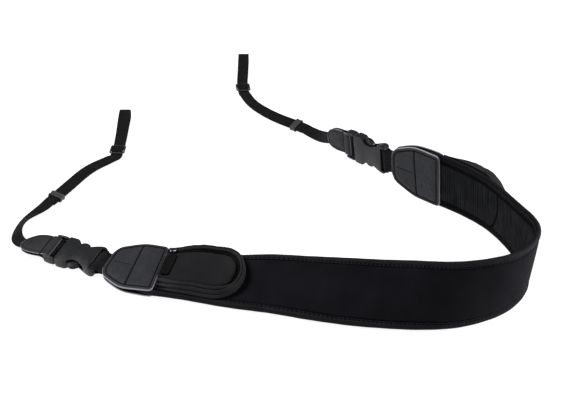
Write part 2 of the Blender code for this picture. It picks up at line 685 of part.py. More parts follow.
def round_pocket(end, name, track, middle, section_at, finish):
    """Carry a (radius, share of height) section round the pocket's track."""
    rings = []
    for centre, angle in track:
        section = section_at(centre, angle)
        turn = np.radians(angle)
        a = centre + section[:, 0] * np.cos(turn)
        w = middle + section[:, 0] * np.sin(turn)
        rings.append(end.lay(a, w, GAP + section[:, 1] * pocket_height(a)))
    return loft(f"{end.name}_{name}", np.array(rings), finish)


def make_pocket(end):
    foot, top = SEWN_SIDE[0][0], SEWN_SIDE[5][0]

    def wall(centre, angle):
        sewn = ease(-angle, 25.0, 75.0)
        section = (1 - sewn) * np.array(ZIP_SIDE) + sewn * np.array(SEWN_SIDE)
        section[:, 0] -= spread(centre) * sewn * (foot - section[:, 0]) / (foot - top)
        return section

    straight = POCKET_STRAIGHT
    track = u_track(straight, -90.0, straight[::-1])
    round_pocket(end, "pocket_wall", track, POCKET_MIDDLE, wall, "neoprene")

    inner, outer = FLAP_RADIUS + GAP, FLAP_RADIUS + GAP + ZIP_WIDTH
    tape = np.array([(inner, 0.66), (outer, 0.66), (outer, 0.80), (outer - 1, 0.86),
                     (inner + 1, 0.90), (inner, 0.84)])
    zip_track = u_track([a for a in straight if a >= ZIP_FROM], -22.0, [])
    round_pocket(end, "pocket_zip", zip_track, FLAP_MIDDLE, lambda centre, angle: tape, "zip")

    along = np.r_[np.array(straight), POCKET_TURN,
                  POCKET_TURN + FLAP_RADIUS * np.sin(np.radians([22, 42, 58, 70, 79, 85]))]
    half = np.sqrt(FLAP_RADIUS ** 2 - np.clip(along - POCKET_TURN, 0, None) ** 2)[:, None]
    columns = np.array([-1.0, -0.8, 0.0, 0.8, 1.0])
    top_share = 0.98 + 0.10 * (1 - columns ** 2)
    under_share = top_share - 0.22
    share = np.r_[top_share, under_share[::-1]]
    low, high = FLAP_MIDDLE - half + spread(along)[:, None], FLAP_MIDDLE + half
    w = low + (high - low) * (np.r_[columns, columns[::-1]] + 1) / 2
    a = along[:, None] + 0 * w
    loft(f"{end.name}_pocket_flap", end.lay(a, w, GAP + share * pocket_height(a)), "neoprene")


# ---------------------------------------------------------------- zip slider and pull
SLIDER_AT = 63.0
SLIDER_LENGTH = 8.0
SLIDER_HALF = 2.6
SLIDER_THICK = 2.6
PULL_LENGTH = 29.0
PULL_HALF = 4.6
PULL_THICK = 1.6
PULL_TURN = -96.0            # degrees from the pad's length, swung down across the flap
PULL_SHIFT = 2.5             # the pull hangs from the slider's inner end


def make_slider(end):
    """The slider on the zip, and the flat pull that lies from it across the flap."""
    middle = FLAP_MIDDLE + FLAP_RADIUS + GAP + ZIP_WIDTH / 2
    half = SLIDER_LENGTH / 2
    outline = np.array([(-half, -1.5), (-half + 1, -SLIDER_HALF), (half - 1, -SLIDER_HALF), (half, -1.7),
                        (half, 1.7), (half - 1, SLIDER_HALF), (-half + 1, SLIDER_HALF), (-half, 1.5)])
    seat = GAP + 1.02 * pocket_height(SLIDER_AT + outline[:, 0]) + GAP
    rings = [end.lay(SLIDER_AT + outline[:, 0], middle + outline[:, 1], seat + h)
             for h in (0.0, SLIDER_THICK)]
    loft(f"{end.name}_zip_slider", np.array(rings), "metal")

    turn = np.radians(PULL_TURN)
    along = np.array([np.cos(turn), np.sin(turn)])
    beside = np.array([-along[1], along[0]])
    start = np.array([SLIDER_AT + PULL_SHIFT, middle]) + (SLIDER_HALF + 3 * GAP) * along
    rings = []
    for t, half in ((0.0, 0.9), (2.5, 1.2), (3.5, 3.4), (5.0, PULL_HALF), (12.0, PULL_HALF),
                    (20.0, PULL_HALF), (PULL_LENGTH - 1.5, PULL_HALF), (PULL_LENGTH, 3.6)):
        spot = start + t * along
        edge = np.stack([spot - half * beside, spot + half * beside])
        low = GAP + 1.09 * pocket_height(edge[:, 0]) + GAP
        low = np.maximum(low, TAB_ROWS[-1].outer_seat + LEATHER + GAP)
        ring_a = np.r_[edge[:, 0], edge[::-1, 0]]
        ring_w = np.r_[edge[:, 1], edge[::-1, 1]]
        rings.append(end.lay(ring_a, ring_w, np.r_[low, low[::-1] + PULL_THICK]))
    loft(f"{end.name}_zip_pull", np.array(rings), "rubber")


# ---------------------------------------------------------------- the whole strap
make_pad()
for end in (LEFT_END, RIGHT_END):
    make_tab(end, "outer_tab", 2, 1)
    make_tab(end, "inner_tab", 3, -1)
    make_buckle_loop(end)
    make_pocket(end)
    make_slider(end)
Side = namedtuple("Side", "route name keeper_at tri_at upper_face")
for side in (Side(LEFT, "left", 192.0, 303.0, 1), Side(RIGHT, "right", 163.0, 278.0, -1)):
    make_buckle(side.route, side.name)
    make_tip(side.route, side.name)
    make_tail(side.route, side.name, side.keeper_at, side.tri_at, side.upper_face)
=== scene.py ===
"""A camera neck strap laid down in an open loop: padded shoulder part, zipped pockets, leather
ends, side-release buckles and adjustable webbing tails.

Each soft piece is worked out flat, in the strap's own places, and then laid along a route:
  s  millimetres along the strap (a, on an end: from the narrow end of its tab inwards),
  w  millimetres across it, upwards from its lower edge or from its middle,
  h  millimetres out of its outer face.
Every point keeps its place in the attribute "strap", which the materials read.
"""
from collections import namedtuple

import bmesh
import bpy
import numpy as np
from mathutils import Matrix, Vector


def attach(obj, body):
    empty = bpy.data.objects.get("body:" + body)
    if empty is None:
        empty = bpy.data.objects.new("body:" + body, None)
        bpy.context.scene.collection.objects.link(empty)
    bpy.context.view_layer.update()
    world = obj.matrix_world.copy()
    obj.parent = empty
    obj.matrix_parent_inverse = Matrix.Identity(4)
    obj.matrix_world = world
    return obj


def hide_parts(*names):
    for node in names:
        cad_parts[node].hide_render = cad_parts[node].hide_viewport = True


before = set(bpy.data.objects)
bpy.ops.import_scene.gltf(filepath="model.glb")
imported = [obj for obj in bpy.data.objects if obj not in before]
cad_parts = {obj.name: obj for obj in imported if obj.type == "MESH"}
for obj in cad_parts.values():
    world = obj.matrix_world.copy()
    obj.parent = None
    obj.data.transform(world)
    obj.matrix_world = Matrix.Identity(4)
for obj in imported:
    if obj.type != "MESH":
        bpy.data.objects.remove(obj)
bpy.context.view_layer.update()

# ------------------------------------------------------------------------------ shoulder pad
# A strip of neoprene, 60 mm wide, faced with a smooth black knit. It carries everything else.
# Its ends are drawn in where the leather tabs clamp them.
MM = 0.001
PAD_WIDTH, PAD_THICK = 60.0, 5.5
MID_H = -PAD_THICK / 2
TAB_MIDDLE = 30.0
PAD_END, BINDING_END, PINCH_FROM = 30.0, 34.0, 57.0
# what is left of the pad's width and thickness where it is clamped hardest
PINCH_WIDTH, PINCH_THICK = 0.86, 0.60
BOX_MIDDLE = np.array([-17.05, 49.55])
# x, y, rise above the surface and lean from upright, of the lower edge of the outer face
PAD_ROWS = np.array([
    (-172.5, -153.5, 0.2, 78), (-146, -164.3, 0.9, 78), (-120.5, -171.8, 2, 80),
    (-83.5, -179.5, 0.6, 76), (-51.5, -188.8, 0.1, 72), (-19.5, -196.4, 0.1, 64.5),
    (11, -205.4, 0.1, 57), (42.5, -213.9, 0.1, 48), (99.5, -222, 0.1, 35), (143, -220, 0.1, 18),
    (173, -209, 0.1, 8), (195.5, -193, 0.1, 0), (212.8, -169.8, 0.1, -5), (221, -140, 0.1, -6),
    (219, -114, 0.1, 0), (209.5, -80.8, 0.1, 5), (194.3, -50.5, 0.1, 6), (175.8, -28, 0.1, 6),
    (154.6, -8.8, 0.1, 5.2), (111.9, 25.9, -0.2, 5)])


def lengths(line):
    """Distance travelled at each point of a line: the steps' lengths added up, from 0."""
    return np.r_[0, np.cumsum(np.linalg.norm(np.diff(line, axis=0), axis=1))]


def read(table, reach, at):
    """Rows of a table that stand at the distances reach, read between them at the places at."""
    return np.stack([np.interp(at, reach, column) for column in table.T], -1)


def unit(vectors):
    """Each vector divided by its own length."""
    return vectors / np.linalg.norm(vectors, axis=-1, keepdims=True)


def spline(knots, values, where):
    """Natural cubic spline: the values at the knots, read at the places in where."""
    step, count = np.diff(knots), len(knots)
    system, right = np.eye(count), np.zeros_like(values)
    for i in range(1, count - 1):
        system[i, i - 1:i + 2] = step[i - 1], 2 * (step[i - 1] + step[i]), step[i]
        right[i] = 6 * ((values[i + 1] - values[i]) / step[i]
                        - (values[i] - values[i - 1]) / step[i - 1])
    bend = np.linalg.solve(system, right)
    k = np.clip(np.searchsorted(knots, where) - 1, 0, count - 2)
    span = step[k][:, None]
    a = (knots[k + 1] - where)[:, None] / span
    b = 1 - a
    cubic = ((a ** 3 - a) * bend[k] + (b ** 3 - b) * bend[k + 1]) * span ** 2 / 6
    return a * values[k] + b * values[k + 1] + cubic


def through(points, count):
    """A smooth line of count points through a few given ones, evenly spaced by chord length."""
    points = np.asarray(points, float)
    knots = lengths(points)
    return spline(knots, points, np.linspace(0, knots[-1], count))


class Route:
    """A smooth line through rows of x, y, z and lean, with the strap's directions along it."""

    def __init__(self, rows, outer_side):
        knots = lengths(rows[:, :3])
        self.dense = spline(knots, rows, np.linspace(0, knots[-1], 3000))
        self.along = lengths(self.dense[:, :3])
        self.length = self.along[-1]
        self.heading = np.gradient(self.dense[:, :3], self.along, axis=0)
        self.outer_side = outer_side

    def directions(self, s):
        """Point, forward, across and outward at s: across is up, turned inwards by the lean."""
        s = np.asarray(s, float)
        forward = unit(read(self.heading, self.along, s))
        at = read(self.dense, self.along, s)
        point = at[..., :3] + (s - np.clip(s, 0, self.length))[..., None] * forward
        lean = np.radians(at[..., 3:])
        side = self.outer_side * unit(np.cross(forward, (0, 0, 1)))
        up = np.cross(side, forward) * self.outer_side
        return (point, forward, np.cos(lean) * up - np.sin(lean) * side,
                np.cos(lean) * side + np.sin(lean) * up)

    def lay(self, s, w, h):
        """A strap place in space: the point at s, plus w across and h outward."""
        point, _, across, outward = self.directions(s)
        return point + np.asarray(w)[..., None] * across + np.asarray(h)[..., None] * outward


rise = PAD_ROWS[:, 2] + PAD_THICK * np.clip(np.sin(np.radians(PAD_ROWS[:, 3])), 0, None)
PAD = Route(np.c_[PAD_ROWS[:, :2] - BOX_MIDDLE, rise, PAD_ROWS[:, 3]], 1)


def ease(x, low, high):
    """0 below low, 1 above high, and the smooth step 3t^2 - 2t^3 between."""
    t = np.clip((np.asarray(x, float) - low) / (high - low), 0, 1)
    return t * t * (3 - 2 * t)


def dip(x, width):
    """A rounded dip or ridge, exp(-(x / width)^2)."""
    return np.exp(-(np.asarray(x, float) / width) ** 2)


def pinched(s, w, h):
    """The pad's place in space, its section scaled about the tab's middle towards both ends."""
    full = ease(np.minimum(s, PAD.length - s), PAD_END, PINCH_FROM)
    return PAD.lay(s, TAB_MIDDLE + (w - TAB_MIDDLE) * (PINCH_WIDTH + (1 - PINCH_WIDTH) * full),
                   MID_H + (h - MID_H) * (PINCH_THICK + (1 - PINCH_THICK) * full))


# A part is rings of points of equal size; copies of it may be stacked in front. mark is 1 where an
# edge is painted, 0.65 along a fold where a highlight is painted, and below 0 where shade is
# painted into a groove or crease. A closed part's last ring joins its first.
Part = namedtuple("Part", "points places mark closed", defaults=(0.0, False))


def laid(lay, s, w, h, mark=0.0):
    """A part out of strap places s, w, h, each row of them a ring, set in space by lay."""
    s, w, h = np.broadcast_arrays(s, w, h)
    return Part(lay(s, w, h), np.stack([s, w, h], -1), mark)


def around(face, back=None):
    """Rings: the columns of a face, and then those of its back, read the other way."""
    return np.c_[face, (face if back is None else back)[:, ::-1]]


def ring_faces(count, size, closed):
    """Quads from each ring to the next, and a ladder of quads across both end rings."""
    at = np.arange(count * size).reshape(count, size)
    if closed:
        at = np.vstack([at, at[:1]])
    after = np.roll(at, -1, axis=1)
    faces = [np.stack([at[:-1], after[:-1], after[1:], at[1:]], -1).reshape(-1, 4)]
    k = np.arange(size // 2 - 1)
    if not closed:
        faces += [np.stack([r[k], r[k + 1], r[size - 2 - k], r[size - 1 - k]], -1)
                  for r in (at[0], at[-1])]
    return np.concatenate(faces)


def turned_out(mesh, places=None):
    """Turn a closed mesh's faces outwards, and keep its points' strap places in it."""
    body = bmesh.new()
    body.from_mesh(mesh)
    bmesh.ops.recalc_face_normals(body, faces=body.faces)
    body.to_mesh(mesh)
    body.free()
    if places is not None:
        strap = mesh.attributes.new("strap", "FLOAT_VECTOR", "POINT")
        strap.data.foreach_set("vector", places.astype(np.float32).ravel())


def link(name, data):
    """Make an object of a mesh, a light or a camera, and put it in the scene."""
    made = bpy.data.objects.new(name, data)
    bpy.context.scene.collection.objects.link(made)
    return made


def show(mesh, name, material, node, sharp):
    """Link the mesh as a piece that rides on the strap and stands for its solid."""
    mesh.name = name
    mesh.materials.clear()
    mesh.materials.append(material)
    mesh.shade_smooth()
    mesh.set_sharp_from_angle(angle=np.radians(sharp))
    made = link(name, mesh)
    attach(made, "root")
    if node:
        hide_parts(node)
    return made


def piece(name, parts, material, node=None, sharp=40.0):
    """One mesh out of closed parts, with its faces turned outwards."""
    points, places, marks, faces, first = [], [], [], [], 0
    for part in parts:
        count, size = part.points.shape[-3:-1]
        flat = part.points.reshape(-1, 3)
        starts = first + np.arange(0, len(flat), count * size)
        faces.append((ring_faces(count, size, part.closed)[None] + starts[:, None, None])
                     .reshape(-1, 4))
        points.append(flat)
        places.append(np.broadcast_to(part.places, part.points.shape).reshape(-1, 3))
        marks.append(np.broadcast_to(part.mark, part.points.shape[:-1]).ravel())
        first += len(flat)
    mesh = bpy.data.meshes.new(name)
    mesh.from_pydata((np.concatenate(points) * MM).tolist(), [], np.concatenate(faces).tolist())
    turned_out(mesh, np.concatenate(places))
    paint = mesh.attributes.new("paint", "FLOAT", "POINT")
    paint.data.foreach_set("value", np.concatenate(marks).astype(np.float32))
    return show(mesh, name, material, node, sharp)


class Finish:
    """A material built node by node in strap places. Heights add up, in mm, to one bump."""

    def __init__(self, name, colour, roughness, **sockets):
        self.material = bpy.data.materials.new(name)
        self.material.use_nodes = True
        self.tree = self.material.node_tree
        self.shader = self.tree.nodes["Principled BSDF"]
        self.shader.inputs["Base Color"].default_value = (*colour, 1)
        self.shader.inputs["Roughness"].default_value = roughness
        for socket, value in sockets.items():
            self.shader.inputs[socket.replace("_", " ")].default_value = value
        self.place = self.add("Attribute", attribute_name="strap")["Vector"]
        self.axes = self.add("SeparateXYZ", self.place)
        self.height = 0.0

    def add(self, kind, *values, **options):
        """One more node; the values go to its sockets in order, None leaves one alone."""
        node = self.tree.nodes.new("ShaderNode" + kind)
        for option, value in options.items():
            setattr(node, option, value)
        for socket, value in zip(node.inputs, values):
            if isinstance(value, bpy.types.NodeSocket):
                self.tree.links.new(value, socket)
            elif value is not None:
                socket.default_value = value
        return node.outputs

    def math(self, operation, *values):
        """One step of arithmetic on the values."""
        return self.add("Math", *values, operation=operation)[0]

    def noise(self, scale, detail=2.0, stretch=(1, 1, 1)):
        """Cloudy values from 0 to 1; scale is in features a millimetre, stretched by axis."""
        at = self.place
        if stretch != (1, 1, 1):
            at = self.add("VectorMath", at, stretch, operation="MULTIPLY")[0]
        return self.add("TexNoise", at, None, scale, detail)[0]

    def ribs(self, axis, pitch):
        """A sine wave from -1 to 1 along one axis."""
        return self.math("SINE", self.math("MULTIPLY", self.axes[axis], 2 * np.pi / pitch))

    def marked(self):
        """The mark that a part keeps in the attribute "paint"."""
        return self.add("Attribute", attribute_name="paint")["Fac"]

    def raise_by(self, pattern, amount):
        """Add the pattern, times an amount in mm, to the surface's height."""
        self.height = self.math("MULTIPLY_ADD", pattern, amount, self.height)

    def tint(self, pattern, colour, low=0.0, high=1.0):
        """Mix towards colour as the pattern goes from low to high."""
        factor = self.add("MapRange", pattern, low, high)[0]
        node = self.tree.nodes.new("ShaderNodeMix")
        node.data_type = "RGBA"
        base = self.shader.inputs["Base Color"]
        if base.is_linked:
            self.tree.links.new(base.links[0].from_socket, node.inputs[6])
        else:
            node.inputs[6].default_value = base.default_value
        node.inputs[7].default_value = (*colour, 1)
        self.tree.links.new(factor, node.inputs[0])
        self.tree.links.new(node.outputs[2], base)

    def polish(self, pattern, rough_from, rough_to, low=0.3, high=0.7):
        """Roughness from one value to another as the pattern goes from low to high."""
        self.tree.links.new(self.add("MapRange", pattern, low, high, rough_from, rough_to)[0],
                            self.shader.inputs["Roughness"])

    def done(self):
        """Turn the summed height into the surface's bump, and give the material."""
        bump = self.tree.nodes.new("ShaderNodeBump")
        bump.inputs["Distance"].default_value = MM
        self.tree.links.new(self.height, bump.inputs["Height"])
        self.tree.links.new(bump.outputs[0], self.shader.inputs["Normal"])
        return self.material


def knit(name, colour, light, foot=None):
    """Smooth jersey: a fine loop grain with a faint cloudiness, nearly without gloss. Below the
    foot's two heights it darkens to near black, as painted shade along the foot of a pocket rim."""
    cloth = Finish(name, colour, 0.8, Specular_IOR_Level=0.03, Sheen_Weight=0.01,
                   Sheen_Roughness=0.5)
    cloth.tint(cloth.noise(0.05, 3), light, 0.35, 0.75)
    if foot:
        # Painted shade: near black below the foot's heights.
        cloth.tint(cloth.axes[2], (0.0010, 0.0010, 0.0012), foot[1], foot[0])
    cloth.raise_by(cloth.noise(1.6, 2, (1, 0.6, 1)), 0.10)
    cloth.raise_by(cloth.ribs(1, 0.75), 0.015)
    cloth.polish(cloth.noise(0.2), 0.72, 0.88)
    return cloth.done()


knit_black = knit("pad_knit", (0.0052, 0.0052, 0.0070), (0.0080, 0.0080, 0.0102))
# places across the face, closest where it dips to the edge of the binding
face_w = np.r_[1.6, 2.6, 6.25, 6.5, 6.8, 7.2, 7.8, 8.6, 9.6, 11, 13, 16, 19, 22.5, 26]
face_w = np.r_[face_w, 30, PAD_WIDTH - face_w[::-1]]
pad_s = np.linspace(PAD_END, PAD.length - PAD_END, 260)[:, None]
from_edge = np.minimum(face_w, PAD_WIDTH - face_w)
# The face: level, dipping smoothly to the bindings and squeezed to a step beneath them.
face_h = np.where(from_edge < 6.4, -1.4, -0.3 * np.exp(-(from_edge - 6.4) / 3.5)
                  - 1.05 * dip(from_edge - 6.4, 0.7))
face_h[[0, -1]] = -2.7
wave = (0.10 * np.sin(pad_s / 13 + 1) + 0.07 * np.sin(pad_s / 5.9 + face_w / 21)
        + 0.05 * np.sin(pad_s / 8.7 - face_w / 9)) * ease(from_edge, 7, 16)
back_h = np.where(from_edge < 2, -2.8, -4.1)
pad_part = laid(pinched, pad_s, np.r_[face_w, face_w[::-1]],
                around(face_h + wave, back_h + 0 * wave))
pad = piece("shoulder_pad_neoprene", [pad_part], knit_black, "shoulder_pad")

# ------------------------------------------------------------------------------- grip lining
# The inner face: black grip cloth with raised ribs across the strap, 2.6 mm apart. The seams
# that hold the pockets come through it as a curved sewn line at each end.
RIB_PITCH, RIB_HEIGHT = 2.6, 0.48
LINING_EDGE, LINING_TOP, LINING_BACK = 6.4, -4.4, -4.95
SEAM_AT_END, SEAM_MIDDLE, SEAM_RADIUS = 138.5, 42.0, 52.0

grip = Finish("grip_cloth", (0.0100, 0.0103, 0.0123), 0.8, Specular_IOR_Level=0.03)
grip.tint(grip.noise(0.08, 3), (0.0170, 0.0177, 0.0203), 0.35, 0.75)
# Painted shade: darker in the valleys between the ribs, mixed with faint streaks along them.
ridge = grip.math("COSINE", grip.math("MULTIPLY", grip.axes[0], 2 * np.pi / RIB_PITCH))
valley_shade_and_streaks = grip.math("MULTIPLY_ADD", ridge, -0.25, grip.noise(0.30, 2, (1, 0.05, 1)))
grip.tint(valley_shade_and_streaks, (0.0018, 0.0018, 0.0024), 0.38, 0.85)
# Painted shade: the lining is darker in a band beside each binding.
aside = grip.math("ABSOLUTE", grip.math("SUBTRACT", grip.axes[1], PAD_WIDTH / 2))
grip.tint(aside, (0.0012, 0.0012, 0.0016), 20.2, 21.2)
grip.tint(grip.marked(), (0.0006, 0.0006, 0.0009), 0.1, 0.55)
grip.raise_by(grip.noise(2.2, 2), 0.08)
grip.raise_by(grip.ribs(1, 0.9), 0.03)
grip_black = grip.done()

lining_w = np.r_[LINING_EDGE, 6.6, 7.2, np.linspace(8.5, PAD_WIDTH - 8.5, 19)]
lining_w = np.r_[lining_w, PAD_WIDTH - lining_w[2::-1]]
lining_s = np.arange(BINDING_END, PAD.length - BINDING_END, RIB_PITCH / 5)[:, None]
edge = np.minimum(lining_w, PAD_WIDTH - lining_w)
# Rib height is a flattened cosine along the strap, faded out towards the bound edges.
rib = np.abs(np.cos(np.pi * lining_s / RIB_PITCH)) ** 0.7 * ease(edge, 6.3, 8.5)
in_end = np.minimum(lining_s, PAD.length - lining_s) - SEAM_AT_END + SEAM_RADIUS
seam = dip(np.hypot(in_end, lining_w - SEAM_MIDDLE) - SEAM_RADIUS, 1.2) * (in_end > 0)
lining_h = LINING_BACK - RIB_HEIGHT * rib * (1 - seam) + 0.5 * seam
lining_part = laid(pinched, lining_s, np.r_[lining_w, lining_w[::-1]],
                   around(lining_h, LINING_TOP + 0 * lining_h), np.c_[seam, 0 * seam])
lining = piece("grip_lining_ribbed", [lining_part], grip_black, "grip_lining", sharp=60)

# ------------------------------------------------------------------------------- bound edges
# Woven tape folded round both long edges of the pad and sewn through, 5 mm in from the edge.
# Each stitch pulls the tape down a little, so its fold is softly puckered.
STITCH_PITCH, SEAM_AT = 4.0, 5.0
FACE_SEAM_H, BACK_SEAM_H = -0.36, -5.1
TAPE_THICK = 0.8

tape = Finish("binding_tape", (0.0072, 0.0072, 0.0090), 0.6, Specular_IOR_Level=0.05)
tape.tint(tape.noise(0.07, 3), (0.0120, 0.0120, 0.0145), 0.35, 0.75)
# Painted shade: the tape is darker on its back, where it turns under towards the lining.
tape.tint(tape.axes[2], (0.0022, 0.0022, 0.0029), -3.6, -4.6)
tape.raise_by(tape.ribs(0, 0.9), 0.03)
tape.raise_by(tape.noise(2.5, 2, (1, 0.4, 1)), 0.07)
tape_black = tape.done()

thread_finish = Finish("thread", (0.0010, 0.0010, 0.0013), 0.7, Specular_IOR_Level=0.03)
twist = thread_finish.math("ADD", thread_finish.ribs(0, 0.45), thread_finish.ribs(1, 0.5))
thread_finish.raise_by(twist, 0.03)
thread = thread_finish.done()

# The outer side of the folded tape, from the face round the edge to the back.
fold = through([(6.3, -0.95), (6.15, -0.35), (5.6, -0.2), (SEAM_AT, -0.5), (4.2, -0.1),
                (3.1, 0.15), (1.9, 0.0), (0.95, -0.6), (0.28, -1.5), (0, -2.75), (0.28, -4.0),
                (0.95, -4.9), (1.9, -5.35), (3.1, -5.45), (4.2, -5.3), (SEAM_AT, -4.95),
                (5.6, -5.2), (6.15, -5.15), (6.3, -4.6)], 34)
inward = unit(np.gradient(fold, axis=0)) @ np.array([(0, -1), (1, 0)])
inward *= np.sign(inward[len(fold) // 2, 0])
inner_fold = fold + TAPE_THICK * inward
binding_s = np.arange(BINDING_END, PAD.length - BINDING_END, 0.8)[:, None]
pucker = 0.16 * np.cos(2 * np.pi * binding_s / STITCH_PITCH) * dip(fold[:, 0] - 4.3, 1.6)
swell = 0.05 * np.sin(binding_s / 7.3) + 0.04 * np.sin(binding_s / 3.1 + 2)


def stitches(lay, line, pitch, length, radius):
    """Short threads along a line of strap places. A stitch is a capsule: its radius shrinks as
    sqrt(1 - t^6) towards both ends, t from -1 to 1, where it also sinks as t^4."""
    line = np.asarray(line, float)
    reach = lengths(line)
    spare = (reach[-1] - length) % pitch / 2
    t = np.array([-1, -0.9, -0.55, 0, 0.55, 0.9, 1])
    along = np.arange(spare, reach[-1] - length + 1e-6, pitch)[:, None] + length * (t + 1) / 2
    at = read(line, reach, along)[:, :, None]
    run = unit(read(np.gradient(line[:, :2], reach, axis=0), reach, along)[:, :, None])
    thick = radius * np.sqrt(1.02 - t ** 6)[:, None]
    turn = np.radians(30 + 60 * np.arange(6))
    beside, up = thick * np.cos(turn), thick * np.sin(turn) - 1.1 * radius * t[:, None] ** 4
    return laid(lay, at[..., 0] - run[..., 1] * beside, at[..., 1] + run[..., 0] * beside,
                at[..., 2] + up)


outer_w, outer_h = fold.T[:, None] + inward.T[:, None] * -(pucker + swell)[None]
ring_w = around(outer_w, inner_fold[:, 0] + 0 * outer_w)
ring_h = around(outer_h, inner_fold[:, 1] + 0 * outer_h)
seam_s = np.linspace(BINDING_END, PAD.length - BINDING_END, 400)
seams = []
for name, w, seam_w in (("lower", ring_w, SEAM_AT),
                        ("upper", PAD_WIDTH - ring_w, PAD_WIDTH - SEAM_AT)):
    piece(f"{name}_edge_binding", [laid(pinched, binding_s, w, ring_h)], tape_black,
          f"{name}_binding", sharp=60)
    for seam_h in (FACE_SEAM_H, BACK_SEAM_H):
        line = np.c_[seam_s, seam_w + 0 * seam_s, seam_h + 0 * seam_s]
        seams.append(stitches(pinched, line, STITCH_PITCH, 2.2, 0.55))
piece("edge_binding_stitches", seams, thread)

# ---------------------------------------------------------------------------- zipped pockets
# A round-ended pocket on the outer face at each end. Its rim stands up as a padded wall: narrow
# with two rolled tubes along the zip, and a wide ridged slope where it is sewn to the panel.
TAB_LENGTH, GAP = 57.0, 0.3
POCKET_FROM, ZIP_FROM, POCKET_TURN = TAB_LENGTH + 2 * GAP, 64.0, 107.5
POCKET_MIDDLE, FLAP_MIDDLE = 31.0, 31.9
POCKET_HEIGHT, POCKET_END_HEIGHT = 8.6, 1.0
FLAP_RADIUS, ZIP_WIDTH = 20.1, 2.8
POCKET_FULL_AT, SPREAD_TO, SPREAD = 92.0, 88.0, 8.0
# the rim's foot, and how far the sewn slope runs in from it
FOOT_RADIUS, SLOPE = 28.0, 8.2


class End:
    """One end of the pad: a is measured from the tab's narrow end inwards."""

    def __init__(self, name, start, step):
        self.name, self.start, self.step = name, start, step

    def lay(self, a, w, h):
        """A place of this end in space: s counts up from the pad's start, or down from its end."""
        return PAD.lay(self.start + self.step * np.asarray(a, float), w, h)


ENDS = (End("left", 0.0, 1.0), End("right", PAD.length, -1.0))


def pocket_height(a):
    """Full height of the pocket along its length; it flattens out under the tab."""
    return (POCKET_END_HEIGHT
            + (POCKET_HEIGHT - POCKET_END_HEIGHT) * ease(a, TAB_LENGTH, POCKET_FULL_AT))


def spread(a):
    """How much further the sewn slope reaches over the panel, where the pocket is flat."""
    return SPREAD * (1 - ease(a, TAB_LENGTH, SPREAD_TO))


# The rim's knit darkens below 1.8 mm and is near black below 0.9 mm: painted shade along its foot.
wall_knit = knit("pocket_rim_knit", (0.0170, 0.0170, 0.0188), (0.0270, 0.0270, 0.0295),
                 (0.9, 1.8))
panel_knit = knit("pocket_panel_knit", (0.0115, 0.0115, 0.0125), (0.0165, 0.0165, 0.0177))

# Outer sides of the rim as (radius, share of the height, extra mm), from the foot over the top.
ZIP_SIDE = through([(28.2, 0.03, 0), (28.2, 0.3, 0), (28.0, 0.6, 0), (27.6, 0.86, 0.1),
                    (26.8, 1.0, 0.3), (25.85, 0.97, -0.55), (24.9, 1.0, 0.25), (23.9, 0.98, 0.1),
                    (23.2, 0.86, 0), (23.0, 0.7, 0)], 42)
SEWN_SIDE = through([(28.0, 0.03, 0), (27.75, 0.2, 0.1), (27.1, 0.36, 0.25), (26.3, 0.46, 0.15),
                     (25.7, 0.5, -0.75), (25.1, 0.62, 0.1), (24.3, 0.76, 0.35),
                     (23.5, 0.84, 0.1), (22.9, 0.86, -0.70), (22.2, 0.95, 0.1),
                     (21.3, 1.04, 0.3), (20.4, 1.02, 0.15), (19.8, 0.86, 0)], 42)
# The inner sides, and the radius, share and extra mm of the stitches in the slope's two grooves.
ZIP_INSIDE = through([(25.5, 0.03, 0), (25.4, 0.4, 0), (24.8, 0.6, 0), (24.0, 0.68, 0),
                      (23.1, 0.66, 0)], 42)
SEWN_INSIDE = through([(25.8, 0.03, 0), (24.4, 0.3, 0), (22.3, 0.56, 0), (21.0, 0.66, 0),
                       (20.2, 0.72, 0)], 42)
GROOVES = ((25.7, 0.5, -0.3), (22.9, 0.86, -0.2))


def u_track(straight, stop, back):
    """Centres (a) and directions round the pocket, from the start of its zip side."""
    turn = np.linspace(90.0, stop, int((90 - stop) / 3) + 1)
    return (np.r_[straight, POCKET_TURN + 0 * turn, back],
            np.radians(np.r_[90 + 0 * straight, turn, -90 + 0 * back]))


def round_pocket(end, middle, centre, turn, radius, share, extra=0.0):
    """A part at a radius and height round the track: a share of the full height, and extra mm."""
    a = centre + radius * np.cos(turn)
    w = middle + radius * np.sin(turn)
    return laid(end.lay, a, w, GAP + share * pocket_height(a) + extra)


straight = np.linspace(POCKET_FROM, POCKET_TURN - 1.5, 46)
centre, turn = u_track(straight, -90.0, straight[::-1])
sewn = ease(-np.degrees(turn), 20.0, 70.0)[:, None, None]
rim = np.concatenate([(1 - sewn) * ZIP_SIDE + sewn * SEWN_SIDE,
                      ((1 - sewn) * ZIP_INSIDE + sewn * SEWN_INSIDE)[:, ::-1]], axis=1)
rim[..., 0] -= spread(centre)[:, None] * sewn[..., 0] * (FOOT_RADIUS - rim[..., 0]) / SLOPE
wrinkle = 0.02 * np.sin(np.arange(len(turn)) / 2.3) + 0.015 * np.sin(np.arange(len(turn)) / 1.1)
rim_share = rim[..., 1] * (1 + wrinkle[:, None] * (rim[..., 1] > 0.3))
zip_straight = straight[straight > ZIP_FROM]
zip_centre, zip_turn = u_track(zip_straight, -55.0, np.array([]))
row_centre, row_turn = u_track(np.array([]), -90.0, straight[::-1])
tape_section = np.array([(20.4, 0.48), (21.8, 0.48), (23.2, 0.50), (23.2, 0.60), (21.8, 0.64),
                         (20.4, 0.62)])
